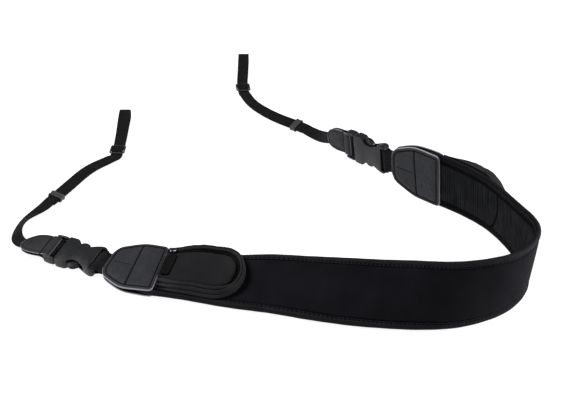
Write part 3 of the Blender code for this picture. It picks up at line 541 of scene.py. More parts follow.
# A tooth is a rounded bar across the zip: radial places t, ring angle q.
TOOTH_PITCH, TOOTH_MIDDLE, TOOTH_HALF, TOOTH_RADIUS = 1.6, 21.9, 1.4, 0.5
tooth_line = np.r_[0, np.cumsum(np.hypot(np.diff(zip_centre), 21.0 * np.diff(zip_turn)))]
tooth_at = np.arange(1.0, tooth_line[-1], TOOTH_PITCH)
tooth_centre = np.interp(tooth_at, tooth_line, zip_centre)[:, None, None]
tooth_turn = np.interp(tooth_at, tooth_line, zip_turn)[:, None, None]
t, q = np.linspace(-1, 1, 7)[:, None], np.radians(60 * np.arange(6))
bulk = TOOTH_RADIUS * np.sqrt(1.02 - t ** 4)
reach, shift = TOOTH_MIDDLE + TOOTH_HALF * t, bulk * np.cos(q)
tooth_a = tooth_centre + reach * np.cos(tooth_turn) - shift * np.sin(tooth_turn)
tooth_w = FLAP_MIDDLE + reach * np.sin(tooth_turn) + shift * np.cos(tooth_turn)
tooth_h = GAP + 0.68 * pocket_height(tooth_a) + bulk * np.sin(q)
coil = Finish("zip_coil", (0.0016, 0.0016, 0.0018), 0.5, Specular_IOR_Level=0.08)
coil.raise_by(coil.noise(2.0), 0.03)
coil_black = coil.done()

# The panel: level with the rim, cushioned, and dipping to the rim, most of all along the zip.
columns = np.r_[-1, -0.985, -0.95, -0.9, np.linspace(-0.8, 0.8, 15), 0.9, 0.95, 0.985, 1]
round_end = POCKET_TURN + FLAP_RADIUS * np.sin(np.radians(np.r_[8:80:6, 82, 85, 88]))
flap_a = np.r_[np.linspace(POCKET_FROM, POCKET_TURN, 40), round_end][:, None]
flap_half = np.sqrt(FLAP_RADIUS ** 2 - np.clip(flap_a - POCKET_TURN, 0, None) ** 2)
flap_low, flap_high = FLAP_MIDDLE - flap_half + spread(flap_a), FLAP_MIDDLE + flap_half
flap_w = flap_low + (flap_high - flap_low) * (columns + 1) / 2
rim_gap = np.where(flap_a < POCKET_TURN, np.minimum(flap_w - flap_low, flap_high - flap_w),
                   FLAP_RADIUS - np.hypot(flap_a - POCKET_TURN, flap_w - FLAP_MIDDLE))
along_zip = ease(flap_w, FLAP_MIDDLE - 14, FLAP_MIDDLE - 4)
flap_share = (0.99 + 0.10 * (1 - columns ** 2) - 0.12 * dip(rim_gap, 0.9)
              - 0.34 * along_zip * (1 - ease(rim_gap, -0.5, 5)))
flap_h = GAP + around(flap_share, flap_share - 0.2) * pocket_height(flap_a)

for end in ENDS:
    rim_part = round_pocket(end, POCKET_MIDDLE, centre[:, None], turn[:, None], rim[..., 0],
                            rim_share, rim[..., 2])
    rim_piece = piece(f"{end.name}_pocket_rim", [rim_part], wall_knit, f"{end.name}_pocket_wall",
                      sharp=60)
    zip_band = round_pocket(end, FLAP_MIDDLE, zip_centre[:, None], zip_turn[:, None],
                            *tape_section.T)
    piece(f"{end.name}_zip_teeth", [zip_band, laid(end.lay, tooth_a, tooth_w, tooth_h)],
          coil_black, f"{end.name}_pocket_zip")
    panel = piece(f"{end.name}_pocket_panel", [laid(end.lay, flap_a, around(flap_w), flap_h)],
                  panel_knit, f"{end.name}_pocket_flap")
    # Two rows of stitches run along the grooves of the sewn slope, and follow it round the end.
    rows = []
    for radius, share, extra in GROOVES:
        reach = radius - spread(row_centre) * (FOOT_RADIUS - radius) / SLOPE
        line = round_pocket(end, POCKET_MIDDLE, row_centre, row_turn, reach, share, extra).places
        rows.append(stitches(end.lay, line[row_turn < np.radians(-50)], 3.0, 2.1, 0.26))
    piece(f"{end.name}_pocket_stitches", rows, thread)

# -------------------------------------------------------------------------- leather end tabs
# Two layers of dark grey leather, cut alike and sewn together round their edge with the pad's
# end, the pocket's end and the buckle webbing between them. The cut edges are painted.
LEATHER, SEAM_IN, WIDE_HALF = 1.8, 3.5, 29.2
CROSS_SEAM, CROSS_SLOPE, MIDDLE_SEAM = 28.0, -0.06, 29.5
# a and half width of the outline, the narrow end first
TAB_HALF = np.array([
    (-1.2, 8.5), (-1.05, 10.0), (-0.8, 11.3), (-0.4, 12.6), (0.2, 14.0), (1.0, 15.7),
    (2.2, 17.6), (3.5, 19.0), (5, 20.2), (10, 22.6), (16, 25.3), (21, 27.2), (25, 28.3),
    (28, 28.8), (32, 29.1), (40, 29.2), (50, 29.2), (53.2, 29.05), (54.6, 28.6), (55.7, 27.8),
    (56.5, 26.6), (56.9, 25.2), (57, 24.0)])
# a, and the seats of the outer and inner layer on what they clamp
TAB_SEATS = np.array([(-1.2, -0.9, -4.6), (22, -0.87, -4.65), (25, -0.8, -4.7), (30, -0.5, -4.9),
                      (40, 0.2, -5.3), (48, 0.4, -5.75), (57, 0.4, -5.8)])
# a layer's column of seats, and the way it faces
OUTER, INNER = (1, 1), (2, -1)


def stations(low, high, step, *fine):
    """Places from low to high, step apart, and closer ones round each fine place."""
    near = [np.clip(f + np.array([-1.5, -1, -0.6, -0.3, 0, 0.3, 0.6, 1, 1.5]), low, high)
            for f in fine]
    every = np.linspace(low, high, int(round((high - low) / step)) + 1)
    return np.unique(np.round(np.concatenate([every, *near]), 3))


def inside(a, w, outline):
    """Distance from each place (a, w) to the nearest side of a closed outline."""
    side = np.roll(outline, -1, axis=0) - outline
    away = np.stack([a, w], -1)[..., None, :] - outline
    share = np.clip((away * side).sum(-1) / (side ** 2).sum(-1), 0, 1)
    return np.linalg.norm(away - share[..., None] * side, axis=-1).min(-1)


def leather(name, colour, light, paint, grain=1.0):
    """Grained leather: pebbles with fine creases between, a soft polish and painted cut edges. By a
    part's mark it also takes painted shade in seam grooves and creases, and a painted highlight
    along a fold.
    """
    hide = Finish(name, colour, 0.5, Specular_IOR_Level=0.08)
    hide.tint(hide.noise(0.06, 4), light, 0.3, 0.75)
    hide.tint(hide.noise(0.45 * grain, 3), tuple(0.72 * v for v in colour), 0.45, 0.8)
    pebble = hide.add("TexVoronoi", hide.place, None, 1.1 * grain)[0]
    hide.raise_by(pebble, -0.06)
    hide.raise_by(hide.noise(0.35, 4), 0.10)
    hide.raise_by(hide.noise(3.0, 2), 0.03)
    painted = hide.marked()
    # A high mark takes the edge paint's colour, which along the tips' fold is a painted highlight;
    # a mark below 0 takes painted shade.
    hide.tint(painted, paint, 0.4, 0.9)
    hide.tint(painted, (0.004, 0.004, 0.005), -0.25, -0.9)
    hide.polish(hide.math("ADD", hide.noise(0.3, 3), hide.math("MULTIPLY", painted, -0.4)),
                0.38, 0.58, 0.0, 0.7)
    return hide.done()


tab_leather = leather("tab_leather", (0.0215, 0.0220, 0.0255), (0.0330, 0.0340, 0.0390),
                      (0.28, 0.28, 0.30))
tab_outline = np.vstack([TAB_HALF, (TAB_HALF * (1, -1))[::-1]]) + (0, TAB_MIDDLE)
tab_a = stations(-1.2, TAB_LENGTH, 1.4, -1.2, SEAM_IN, CROSS_SEAM, TAB_LENGTH - SEAM_IN,
                 TAB_LENGTH)
tab_half = np.interp(tab_a, TAB_HALF[:, 0], TAB_HALF[:, 1])[:, None]
tab_c = stations(-WIDE_HALF, WIDE_HALF, 1.4, -WIDE_HALF, SEAM_IN - WIDE_HALF, 0,
                 WIDE_HALF - SEAM_IN, WIDE_HALF) / WIDE_HALF
tab_w = TAB_MIDDLE + tab_half * tab_c
tab_at = tab_a[:, None] + 0 * tab_w
deep = inside(tab_at, tab_w, tab_outline)
cross_at = CROSS_SEAM + CROSS_SLOPE * (tab_w - TAB_MIDDLE)
# Relief: a soft pillow inside the seams, a raised border, and a groove along every seam.
pillow = 0.55 * ease(deep, SEAM_IN, SEAM_IN + 6)
border = 0.22 * np.sin(np.pi * np.clip(deep / SEAM_IN, 0, 1))
grooves = 0.60 * dip(deep - SEAM_IN, 0.6) + 0.75 * dip(tab_at - cross_at, 0.8) * (deep > SEAM_IN)
grooves += 0.50 * dip(tab_w - MIDDLE_SEAM, 0.6) * ease(tab_at, 4, 6) * ease(-tab_at, -26, -24)
rounding = 0.85 - np.sqrt(0.85 ** 2 - np.clip(0.85 - deep, 0, 0.85) ** 2)
droop = 0.5 * dip(deep, 2.5)
face = LEATHER + pillow + border - grooves - rounding - droop
tab_relief = around(face, 0.35 * dip(deep, 0.5) - droop)
# The mark: the painted cut edge, and painted shade in every seam groove.
painted = around(ease(-deep, -0.75, -0.3) - 1.8 * grooves)


def tab_seat(a, column):
    """Height of a layer's underside at a, read from its column of seats."""
    return np.interp(a, TAB_SEATS[:, 0], TAB_SEATS[:, column])


def seam_line(inset, steps=400):
    """The tab's outline drawn in by inset towards its middle, as evenly spaced (a, w)."""
    ring = np.vstack([tab_outline, tab_outline[:1]])
    reach = lengths(ring)
    line = read(ring, reach, np.linspace(0, reach[-1], steps))
    aside = unit(np.gradient(line, axis=0)) @ np.array([(0, -1), (1, 0)])
    line = line + inset * aside * np.sign((TAB_MIDDLE - line[5, 1]) * aside[5, 1])
    return line[inside(line[:, 0], line[:, 1], tab_outline) > inset - 0.25]


def on_tab(line, column, away):
    """Seam places on a layer's face, at the bottom of its groove."""
    return np.c_[line, tab_seat(line[:, 0], column) + away * (LEATHER - 0.25)]


cross_w = np.linspace(6, 54, 40)
tab_seams = (seam_line(SEAM_IN), np.c_[CROSS_SEAM + CROSS_SLOPE * (cross_w - TAB_MIDDLE), cross_w],
             np.c_[np.linspace(5, 25, 20), MIDDLE_SEAM + np.zeros(20)])
# A dark board between the layers fills the edge of the tab, a little inside the cut. Its faces
# fall off with the eighth power of the place across it.
board_a = stations(0.0, 31, 2.0)
board_half = np.interp(board_a, TAB_HALF[:, 0], TAB_HALF[:, 1])[:, None] - 0.8
board_c = np.linspace(-1, 1, 9)
board_w = TAB_MIDDLE + board_half * np.r_[board_c, board_c[::-1]]
board_in = 0.05 + 0.55 * np.abs(board_c) ** 8
board_h = around(tab_seat(board_a, 1)[:, None] - board_in, tab_seat(board_a, 2)[:, None] + board_in)

for end in ENDS:
    for layer, (column, away) in (("outer", OUTER), ("inner", INNER)):
        h = tab_seat(tab_a, column)[:, None] + away * tab_relief
        piece(f"{end.name}_{layer}_leather_tab",
              [laid(end.lay, around(tab_at), around(tab_w), h, painted)],
              tab_leather, f"{end.name}_{layer}_tab", sharp=60)
    sewn = [stitches(end.lay, on_tab(line, *layer), 3.2, 2.3, 0.33)
            for layer in (OUTER, INNER) for line in tab_seams]
    piece(f"{end.name}_tab_stitches", sewn, thread)
    piece(f"{end.name}_tab_board", [laid(end.lay, board_a[:, None], board_w, board_h)], grip_black)

# ----------------------------------------------------------------------------- buckle loops
# 25 mm webbing, sewn in the tab, that goes round the buckle's end bar and back into the tab.
END_BAR_AT, BAR_RADIUS = 9.0, 2.2
LOOP_THICK, LOOP_HALF, LOOP_HIDDEN = 1.3, 12.5, 20.0
# where the end bar sits across the tab, and how the buckle swings outwards and tilts on it
BAR_W = {"left": 27.2, "right": 31.0}
SWING = {"left": 2.0, "right": 7.0}
TILT = {"left": 2.3, "right": -2.3}


def offset_line(line, distance):
    """The line shifted sideways, to the left of its travel."""
    run = unit(np.gradient(line, axis=0))
    return line + np.asarray(distance)[..., None] * np.stack([-run[:, 1], run[:, 0]], -1)


def arc(centre, radius, start, stop, steps):
    """Points round a centre, angles in degrees."""
    angle = np.radians(np.linspace(start, stop, steps + 1))
    return np.stack([centre[0] + radius * np.cos(angle), centre[1] + radius * np.sin(angle)], -1)


def resampled(line, step):
    """The same line with evenly spaced points, step apart."""
    reach = lengths(line)
    return read(line, reach, np.linspace(0, reach[-1], int(reach[-1] / step) + 1))


def band(lay, line, half, middle, thick, relief=0.0, selvedge=0.0, columns=11):
    """A flat band along a side-view line of (u, h). Across it, c from -1 to 1, its thickness is
    0.2 + 0.8 sqrt(1 - c^10); relief lifts both faces and selvedge widens it, ring by ring."""
    c = np.sin(np.linspace(-1, 1, columns) * np.pi / 2)
    body = (1 - np.abs(c) ** 10) ** 0.5 * 0.8 + 0.2
    run = unit(np.gradient(line, axis=0))
    off = (thick / 2 + np.asarray(relief)) * body + 0 * line[:, :1]
    off = np.c_[off, -off[:, ::-1]]
    u = line[:, :1] - run[:, 1:] * off
    h = line[:, 1:] + run[:, :1] * off
    w = middle + (np.asarray(half) + np.asarray(selvedge)) * np.r_[c, c[::-1]] + 0 * off
    reach = lengths(line)[:, None]
    return Part(lay(u, w, h), np.stack([reach + 0 * w, w - middle, off], -1))


def webbing(name, colour, light, pitch, shine=0.3):
    """Woven webbing: ribs across, finer warp lines along, and a little fluff."""
    weave = Finish(name, colour, 0.6, Specular_IOR_Level=shine, Sheen_Weight=0.01)
    weave.tint(weave.noise(0.12, 3), light, 0.35, 0.75)
    weave.tint(weave.noise(0.9, 2), tuple(0.45 * v for v in colour), 0.42, 0.72)
    weave.raise_by(weave.ribs(0, pitch), 0.03)
    weave.raise_by(weave.ribs(1, 0.8), 0.04)
    weave.raise_by(weave.noise(3.0, 2), 0.06)
    return weave.done()


loop_weave = webbing("buckle_webbing", (0.0070, 0.0070, 0.0080), (0.0125, 0.0125, 0.0142), 0.9,
                     0.05)
ply = (LOOP_THICK + GAP) / 2
rise = 0.45 * ply
loop_line = np.vstack([
    [(LOOP_HIDDEN, MID_H + ply), (-2.0, MID_H + ply), (-4.0, MID_H + ply + rise)],
    arc((-END_BAR_AT, MID_H), BAR_RADIUS + GAP + LOOP_THICK / 2, 75, 285, 24),
    [(-4.0, MID_H - ply - rise), (-2.0, MID_H - ply), (LOOP_HIDDEN, MID_H - ply)]])
loop_line = resampled(loop_line, 0.5)
for end in ENDS:
    bar_w, slope = BAR_W[end.name], np.tan(np.radians(TILT[end.name]))

    def skewed(a, w, h):
        """The fold follows the bar, which the buckle's tilt turns a little."""
        return end.lay(a + slope * (w - bar_w), w, h)

    piece(f"{end.name}_buckle_webbing",
          [band(skewed, loop_line, LOOP_HALF, bar_w, LOOP_THICK, columns=17)],
          loop_weave, f"{end.name}_buckle_loop", sharp=60)

# ----------------------------------------------------------------------- side-release buckles
# Moulded plastic. The female half is a flat box with a mouth, a waist where the prongs are
# pressed and a bar at its nose; the male half's two sprung prongs lie in it, shown fastened.
BODY_THICK, CHEEK_INNER, BAR_HALF = 9.4, 13.2, 13.6
SLOT_TO, CAVITY_FROM, CAVITY_HALF_THICK = 13.3, 16.4, 3.1
WINDOW_AT, MALE_FROM, MALE_BAR_AT = 31.5, 49.5, 59.4
SHOULDER_DEPTH, PLATE_HALF, PRONG_HALF_THICK = 5.0, 0.9, 2.2
RIDGE_AT, RIDGE_LEVEL = 3.2, 1.1
BUCKLE_CENTRE = 32.0
LEAD_STATIONS = (0.0, 20.0, 40.0, 52.0, 60.0, 68.0)
# x, y, z and lean of the middle of each side, from the end of its leather tip on
LEFT_ROWS = np.array([
    (-246, -89.5, 6.4, 79), (-252.6, -79.8, 4.9, 70), (-255.2, -64, 4.6, 56),
    (-250, -42.5, 4.4, 68), (-239.5, -24.5, 4, 90), (-229, -5, 4.3, 99),
    (-213, 32.5, 2.9, 101), (-198.5, 59, 3, 97), (-186.5, 70.5, 3.8, 93),
    (-178.5, 79.5, 4.2, 90), (-176, 90, 4.3, 90), (-175.3, 102, 4.1, 90),
    (-175, 120, 1.9, 90), (-175, 140, 1.4, 90), (-175, 178, 1.4, 90)])
RIGHT_ROWS = np.array([
    (46.4, 87.7, 22.5, -2), (34, 116, 10.5, -44), (15.5, 143, 6.3, -66), (-2, 159.5, 5, -70),
    (-22, 181.5, 3.9, -76), (-38, 205.5, 3.8, -86), (-45.5, 227, 4.1, -90), (-48, 242, 4.3, -90),
    (-49, 256, 4, -90), (-49, 274, 2.1, -90), (-49, 292, 1.4, -90), (-49, 320, 1.4, -90)])


def side_route(name, pad_end, way, rows, outer_side):
    """A straight lead for the buckle, swung and tilted as it hangs on its bar, then the rows."""
    bar = PAD.lay(pad_end + way * END_BAR_AT, BAR_W[name], MID_H)
    _, heading, across, outward = PAD.directions(pad_end)
    swing, tilt = np.radians(SWING[name]), np.radians(TILT[name])
    forward = np.cos(swing) * way * heading + np.sin(swing) * outward
    forward, across = (np.cos(tilt) * forward + np.sin(tilt) * across,
                       np.cos(tilt) * across - np.sin(tilt) * forward)
    side = unit(np.cross(forward, (0, 0, 1))) * outer_side
    up = np.cross(side, forward) * outer_side
    lean = np.degrees(np.arctan2(-across @ side, across @ up))
    lead = [(*(bar + (u - END_BAR_AT) * forward), lean) for u in LEAD_STATIONS]
    return Route(np.vstack([lead, rows - np.r_[BOX_MIDDLE, 0, 0]]), outer_side)


LEFT = side_route("left", 0.0, -1, LEFT_ROWS, -1)
RIGHT = side_route("right", PAD.length, 1, RIGHT_ROWS, 1)


def frame_at(route, u):
    """Point and the rigid axes (forward, across, outward) at u, as rows."""
    point, forward, across, _ = (v[0] for v in route.directions(np.array([u])))
    return point, np.stack([forward, across, np.cross(forward, across)])


def rigid(route, at, points):
    """Rigid local points (u, w, h), with u from the route's start, set at one place of it."""
    point, axes = frame_at(route, at)
    return point + (np.asarray(points) - (at, 0, 0)) @ axes


def rod(line, radius, flat=1.0, sides=8, normal=(0, 0, 1)):
    """A round rod along local points, its ends rounded off; flat squeezes it along the normal."""
    line = np.asarray(line, float)
    run = unit(np.gradient(line, axis=0))
    beside = unit(np.cross(run, normal))
    above = np.cross(beside, run)
    line = np.vstack([line[:1] - 0.9 * radius * run[0], line[:1] - 0.6 * radius * run[0], line,
                      line[-1:] + 0.6 * radius * run[-1], line[-1:] + 0.9 * radius * run[-1]])
    pick = np.r_[0, 0, 0:len(run), len(run) - 1, len(run) - 1]
    size = radius * np.r_[0.4, 0.8, np.ones(len(run)), 0.8, 0.4][:, None, None]
    q = np.radians((np.arange(sides) + 0.5) * 360 / sides)[None, :, None]
    return line[:, None] + size * (np.cos(q) * beside[pick][:, None]
                                   + flat * np.sin(q) * above[pick][:, None])


def prism(outline, low, high, upright=False):
    """A flat outline pulled from low to high: of (u, w) along h, or of (u, h) along w."""
    outline = np.asarray(outline, float)
    count = len(outline)
    rings = [np.c_[outline, 0 * outline[:, 0] + level] for level in (low, high)]
    points = np.vstack(rings)
    points = points[:, [0, 2, 1]] if upright else points
    k = np.arange(count)
    walls = np.stack([k, (k + 1) % count, (k + 1) % count + count, k + count], -1).tolist()
    mesh = bpy.data.meshes.new("prism")
    mesh.from_pydata((points * MM).tolist(), [], walls + [k.tolist(), (k + count).tolist()])
    turned_out(mesh)
    return link("prism", mesh)


def block(low, high):
    """A box between two corners (u, w, h)."""
    return prism([(low[0], low[1]), (high[0], low[1]), (high[0], high[1]), (low[0], high[1])],
                 low[2], high[2])


def moulded(body, cuts, bevel):
    """Run the cuts on the body, then round its edges off. The result is one mesh, still local."""
    for operation, tool in cuts:
        cut = body.modifiers.new(operation, "BOOLEAN")
        cut.operation, cut.object, cut.solver = operation, tool, "EXACT"
    edges = body.modifiers.new("edges", "BEVEL")
    edges.width, edges.segments, edges.limit_method = bevel * MM, 3, "ANGLE"
    edges.angle_limit = np.radians(32)
    depsgraph = bpy.context.evaluated_depsgraph_get()
    mesh = bpy.data.meshes.new_from_object(body.evaluated_get(depsgraph))
    for used in [body] + [tool for _, tool in cuts]:
        bpy.data.objects.remove(used)
    return mesh


def set_rigid(mesh, route, at, name, material, node, rods=()):
    """Set a local mesh at one place of the route; rods are more local parts that join it."""
    body = bmesh.new()
    body.from_mesh(mesh)
    for part in rods:
        count, size = part.shape[:2]
        made = [body.verts.new(v) for v in (part.reshape(-1, 3) * MM).tolist()]
        for quad in ring_faces(count, size, False).tolist():
            body.faces.new([made[i] for i in quad])
    body.to_mesh(mesh)
    body.free()
    local = np.empty(len(mesh.vertices) * 3, np.float32)
    mesh.vertices.foreach_get("co", local)
    local = local.reshape(-1, 3) / MM
    turned_out(mesh, local)
    mesh.vertices.foreach_set("co", (rigid(route, at, local) * MM).astype(np.float32).ravel())
    mesh.update()
    return show(mesh, name, material, node, 30.0)


def plastic(name, colour, rough, grain=0.01):
    """Moulded plastic, not yet done: a satin grain, faint flow marks and lightly rubbed places."""
    shell = Finish(name, colour, rough, Specular_IOR_Level=0.25)
    shell.tint(shell.noise(0.05, 3), tuple(1.25 * v for v in colour), 0.3, 0.8)
    shell.raise_by(shell.noise(2.4, 2), grain)
    shell.raise_by(shell.noise(0.12, 1), 0.10)
    shell.polish(shell.noise(0.25, 3), rough - 0.05, rough + 0.08)
    return shell


# The mould's parting line runs round the socket at half its thickness: exp(-6 h^2).
shell = plastic("buckle_plastic", (0.0095, 0.0099, 0.0118), 0.34)
level_squared = shell.math("MULTIPLY", shell.axes[2], shell.axes[2])
parting = shell.math("EXPONENT", shell.math("MULTIPLY", level_squared, -6.0))
shell.raise_by(parting, -0.25)
shell.tint(parting, (0.0012, 0.0012, 0.0014), 0.1, 1.0)
socket_plastic = shell.done()
plug_plastic = plastic("prong_plastic", (0.0105, 0.0109, 0.0128), 0.30).done()


def both_sides(half_outline):
    """The (u, w) points and their mirror images, as one closed outline."""
    half_outline = np.asarray(half_outline, float)
    return np.vstack([half_outline, half_outline[::-1] * (1, -1)])


# Half outlines (u, w) of both halves, the side (u, h) of the socket's rounded nose, and the
# pressed cheek of a prong, counted from the middle of its window.
FEMALE_HALF = [(49.2, 13.6), (48.9, 14.5), (48.0, 15.3), (46.5, 15.6), (44.5, 15.7),
               (39.8, 15.6), (38.6, 15.2), (37.2, 14.2), (35.8, 12.6), (34.3, 11.1),
               (32.8, 10.1), (31, 9.6), (29, 9.5), (27, 9.8), (24.5, 10.7), (21.5, 12.2),
               (18.5, 13.6), (15.5, 14.8), (13, 15.4), (11, 15.4), (9.3, 14.9), (7.9, 13.9),
               (6.9, 12.6), (6.3, 11.0)]
NOSE_SIDE = np.vstack([[(52.0, 5.0), (12.6, 5.0)], arc((10.9, 0), 4.7, 84, 276, 24),
                       [(12.6, -5.0), (52.0, -5.0)]])
MALE_HALF = [(49.5, 14.0), (49.9, 14.8), (51.0, 15.3), (54, 15.5), (57.5, 15.3), (60.2, 14.9),
             (61.4, 14.3), (62.0, 13.2)]
PRESS = [(4.6, 12.4), (4.4, 13.4), (3.4, 14.6), (1.8, 15.35), (0, 15.6), (-1.8, 15.4),
         (-3.3, 14.8), (-4.8, 13.6), (-6.3, 12.0), (-7.0, 10.6), (-6.7, 9.4), (-4.5, 9.0)]


def cross_bar(u):
    """The round bar across a buckle half at u, which the webbing or leather goes round."""
    return rod([(u, w, 0) for w in np.linspace(-BAR_HALF, BAR_HALF, 5)], BAR_RADIUS, sides=16)


def make_female(route, side):
    """The socket: its outline and its side view crossed, then the cavity and the bar's slot cut."""
    thick = BODY_THICK
    body = prism(both_sides(FEMALE_HALF), -thick / 2, thick / 2)
    cuts = [("INTERSECT", prism(NOSE_SIDE, -20, 20, upright=True)),
            ("DIFFERENCE", block((CAVITY_FROM, -CHEEK_INNER, -CAVITY_HALF_THICK),
                                 (60, CHEEK_INNER, CAVITY_HALF_THICK))),
            ("DIFFERENCE", block((0, -CHEEK_INNER, -thick), (SLOT_TO, CHEEK_INNER, thick)))]
    set_rigid(moulded(body, cuts, bevel=1.1), route, BUCKLE_CENTRE, f"{side}_buckle_socket",
              socket_plastic, f"{side}_buckle_female", [cross_bar(END_BAR_AT)])


def make_male(route, side):
    """The plug: a shoulder of two cheeks and a thin plate with two fine ridges, the bar for the
    leather, and two prongs whose ribbed cheeks stand in the socket's waist."""
    body = prism(both_sides(MALE_HALF), -BODY_THICK / 2 + 0.5, BODY_THICK / 2 - 0.5)
    cuts = [("DIFFERENCE", block((MALE_FROM + SHOULDER_DEPTH, -CHEEK_INNER, -9),
                                 (70, CHEEK_INNER, 9))),
            ("DIFFERENCE", block((40, -CHEEK_INNER, PLATE_HALF), (70, CHEEK_INNER, 9))),
            ("DIFFERENCE", block((40, -CHEEK_INNER, -9), (70, CHEEK_INNER, -PLATE_HALF)))]
    mesh = moulded(body, cuts, bevel=0.7)
    prong = [(MALE_FROM + 1, 12.4), (WINDOW_AT + 8.0, 12.1)]
    prong += [(WINDOW_AT + u, w) for u, w in PRESS]
    prong += [(MALE_FROM - 6.5, 8.4), (MALE_FROM + 1, 7.4)]
    rods = [cross_bar(MALE_BAR_AT)]
    rods += [rod([(MALE_FROM + RIDGE_AT, w, level) for w in np.linspace(0, 9, 4)], 0.35)
             for level in (-RIDGE_LEVEL, RIDGE_LEVEL)]
    joined = bmesh.new()
    joined.from_mesh(mesh)
    for way in (-1, 1):
        arm = prism(np.array(prong) * (1, way), -PRONG_HALF_THICK, PRONG_HALF_THICK)
        joined.from_mesh(moulded(arm, [], bevel=0.5))
        cheek = [(WINDOW_AT + u, way * (w + 0.05)) for u, w in PRESS[1:9]]
        ridge = resampled(through(cheek, 24), 0.5)
        for level in (-1.5, -0.5, 0.5, 1.5):
            rods.append(rod(np.c_[ridge, level + 0 * ridge[:, 0]], 0.34, sides=6))
    joined.to_mesh(mesh)
    joined.free()
    set_rigid(mesh, route, BUCKLE_CENTRE, f"{side}_buckle_plug", plug_plastic,
              f"{side}_buckle_male", rods)
    # Painted shade: a black sheet laid over the thin plate in the slot between the shoulder's
    # cheeks, so that the slot reads dark. It is a flat bar, four corners a ring.
    far, level = SHOULDER_DEPTH - 0.05, PLATE_HALF + 0.05
    corners = np.array([(0.5, -level), (far, -level), (far, level), (0.5, level)])
    slot_shade_sheet = np.array([[(MALE_FROM + u, w, h) for u, h in corners]
                            for w in (-CHEEK_INNER + 0.1, CHEEK_INNER - 0.1)])
    placed = rigid(route, BUCKLE_CENTRE, slot_shade_sheet.reshape(-1, 3)).reshape(2, 4, 3)
    piece(f"{side}_buckle_slot_shade_sheet", [Part(placed, slot_shade_sheet)], thread)


SIDES = ((LEFT, "left"), (RIGHT, "right"))
for route, side in SIDES:
    make_female(route, side)
    make_male(route, side)

# ----------------------------------------------------------------------------- leather tips
# A strip of leather goes round the male bar, and its two plies close on the tail and are sewn
# to it, parallel to the rounded end.
TIP_END_AT, TIP_LEATHER, TAIL_THICK, TAIL_WIDTH = 92.0, 1.5, 1.2, 12.0
TIP_CREASE_AT, TIP_FOLD_AT, TIP_FOLD_HALF = 66.0, 56.9, 12.4
# how far in the seam runs, and the height of a ply's middle where it passes the bar
TIP_SEAM_IN, BAR_CLEAR = 2.6, 3.1
# distance back from the round end, and half width there
TIP_HALF = np.array([(0.0, 3.2), (0.3, 4.4), (0.9, 5.7), (2.6, 7.5), (5, 9.1), (8, 10.5),
                     (11, 11.5), (14, 12.1), (17, 12.45), (20, 12.6), (40, 12.6)])

tip_leather = leather("tip_leather", (0.0170, 0.0170, 0.0195), (0.0340, 0.0340, 0.0380),
                      (0.27, 0.27, 0.29), 1.2)
tip_ply = (TAIL_THICK + TIP_LEATHER) / 2 + GAP


def tip_closing(u):
    """Height of a ply's middle: clear of the bar, then easing down on to the tail."""
    return BAR_CLEAR - (BAR_CLEAR - tip_ply) * ease(u, MALE_BAR_AT + 3, MALE_BAR_AT + 7)


def tip_half(u):
    """Half width of the tip at u, by its distance from the round end."""
    return np.interp(TIP_END_AT - u, TIP_HALF[:, 0], TIP_HALF[:, 1])


tip_u = stations(MALE_BAR_AT + 3, TIP_END_AT, 0.9, TIP_CREASE_AT, TIP_END_AT)[::-1]
upper = np.c_[tip_u, tip_closing(tip_u)]
bend = arc((MALE_BAR_AT, 0), BAR_RADIUS + GAP + TIP_LEATHER / 2, 75, 285, 24)
tip_line = np.vstack([upper, bend, (upper * (1, -1))[::-1]])
half = np.r_[tip_half(tip_u), np.full(len(bend), TIP_FOLD_HALF), tip_half(tip_u[::-1])][:, None]
c, u = np.sin(np.linspace(-1, 1, 25) * np.pi / 2), tip_line[:, :1]
from_side = np.minimum(half * (1 - np.abs(c)), TIP_END_AT - u)
# Relief: a pillow and a low border with the seam's groove between, and the crease at the bar.
relief = (0.18 * ease(from_side, 3, 6) - 0.22 * dip(from_side - TIP_SEAM_IN, 0.5)
          + 0.1 * dip(from_side - TIP_SEAM_IN / 2, 0.8)) * ease(u, TIP_CREASE_AT, 70)
relief = relief - 0.35 * dip(u - TIP_CREASE_AT, 0.7)
# The mark: painted cut edges, painted shade in the crease at the bar, and a painted highlight along
# the fold round the bar.
painted = (ease(-from_side, -0.5, -0.15) - dip(u - TIP_CREASE_AT, 0.9)
           + 0.65 * dip(u - TIP_FOLD_AT, 0.6))
# The seam: the outline drawn in, up one side, round the end and down the other.
u = tip_u[tip_u > MALE_BAR_AT + 8]
edge_line = np.c_[u, tip_half(u)]
edge_line = edge_line - TIP_SEAM_IN * np.abs(unit(np.gradient(edge_line, axis=0)))[:, ::-1]
edge_line = edge_line[edge_line[:, 1] > 0.4]
tip_seam = np.vstack([edge_line[::-1], edge_line * (1, -1)])
seam_h = tip_closing(tip_seam[:, 0]) + TIP_LEATHER / 2 - 0.12

for route, side in SIDES:
    strip = band(route.lay, tip_line, half, 0.0, TIP_LEATHER, relief, columns=25)
    piece(f"{side}_leather_tip", [strip._replace(mark=around(painted))], tip_leather,
          f"{side}_tip", sharp=60)
    rows = [stitches(route.lay, np.c_[tip_seam, way * seam_h], 3.0, 2.1, 0.25) for way in (1, -1)]
    piece(f"{side}_tip_stitches", rows, thread)

# ---------------------------------------------------------------------------- webbing tails
# 12 mm ribbed webbing: from the tip, through the keeper and the tri-glide, round in a loop at
# its end, and back under itself through both to the free end.
KEEPER_LENGTH = 7.5
TRI_LENGTH, TRI_WIDTH, TRI_THICK, TRI_BAR, TRI_REACH = 17.5, 16.0, 1.5, 2.0, 22.0
EYE_RADIUS, FREE_END, TAIL_HIDDEN = 4.6, 9.0, 20.0
PLY_PITCH = TAIL_THICK + GAP
RIB = 1.3

tail_weave = webbing("tail_webbing", (0.0058, 0.0058, 0.0065), (0.0100, 0.0100, 0.0110), 0.65,
                     0.05)


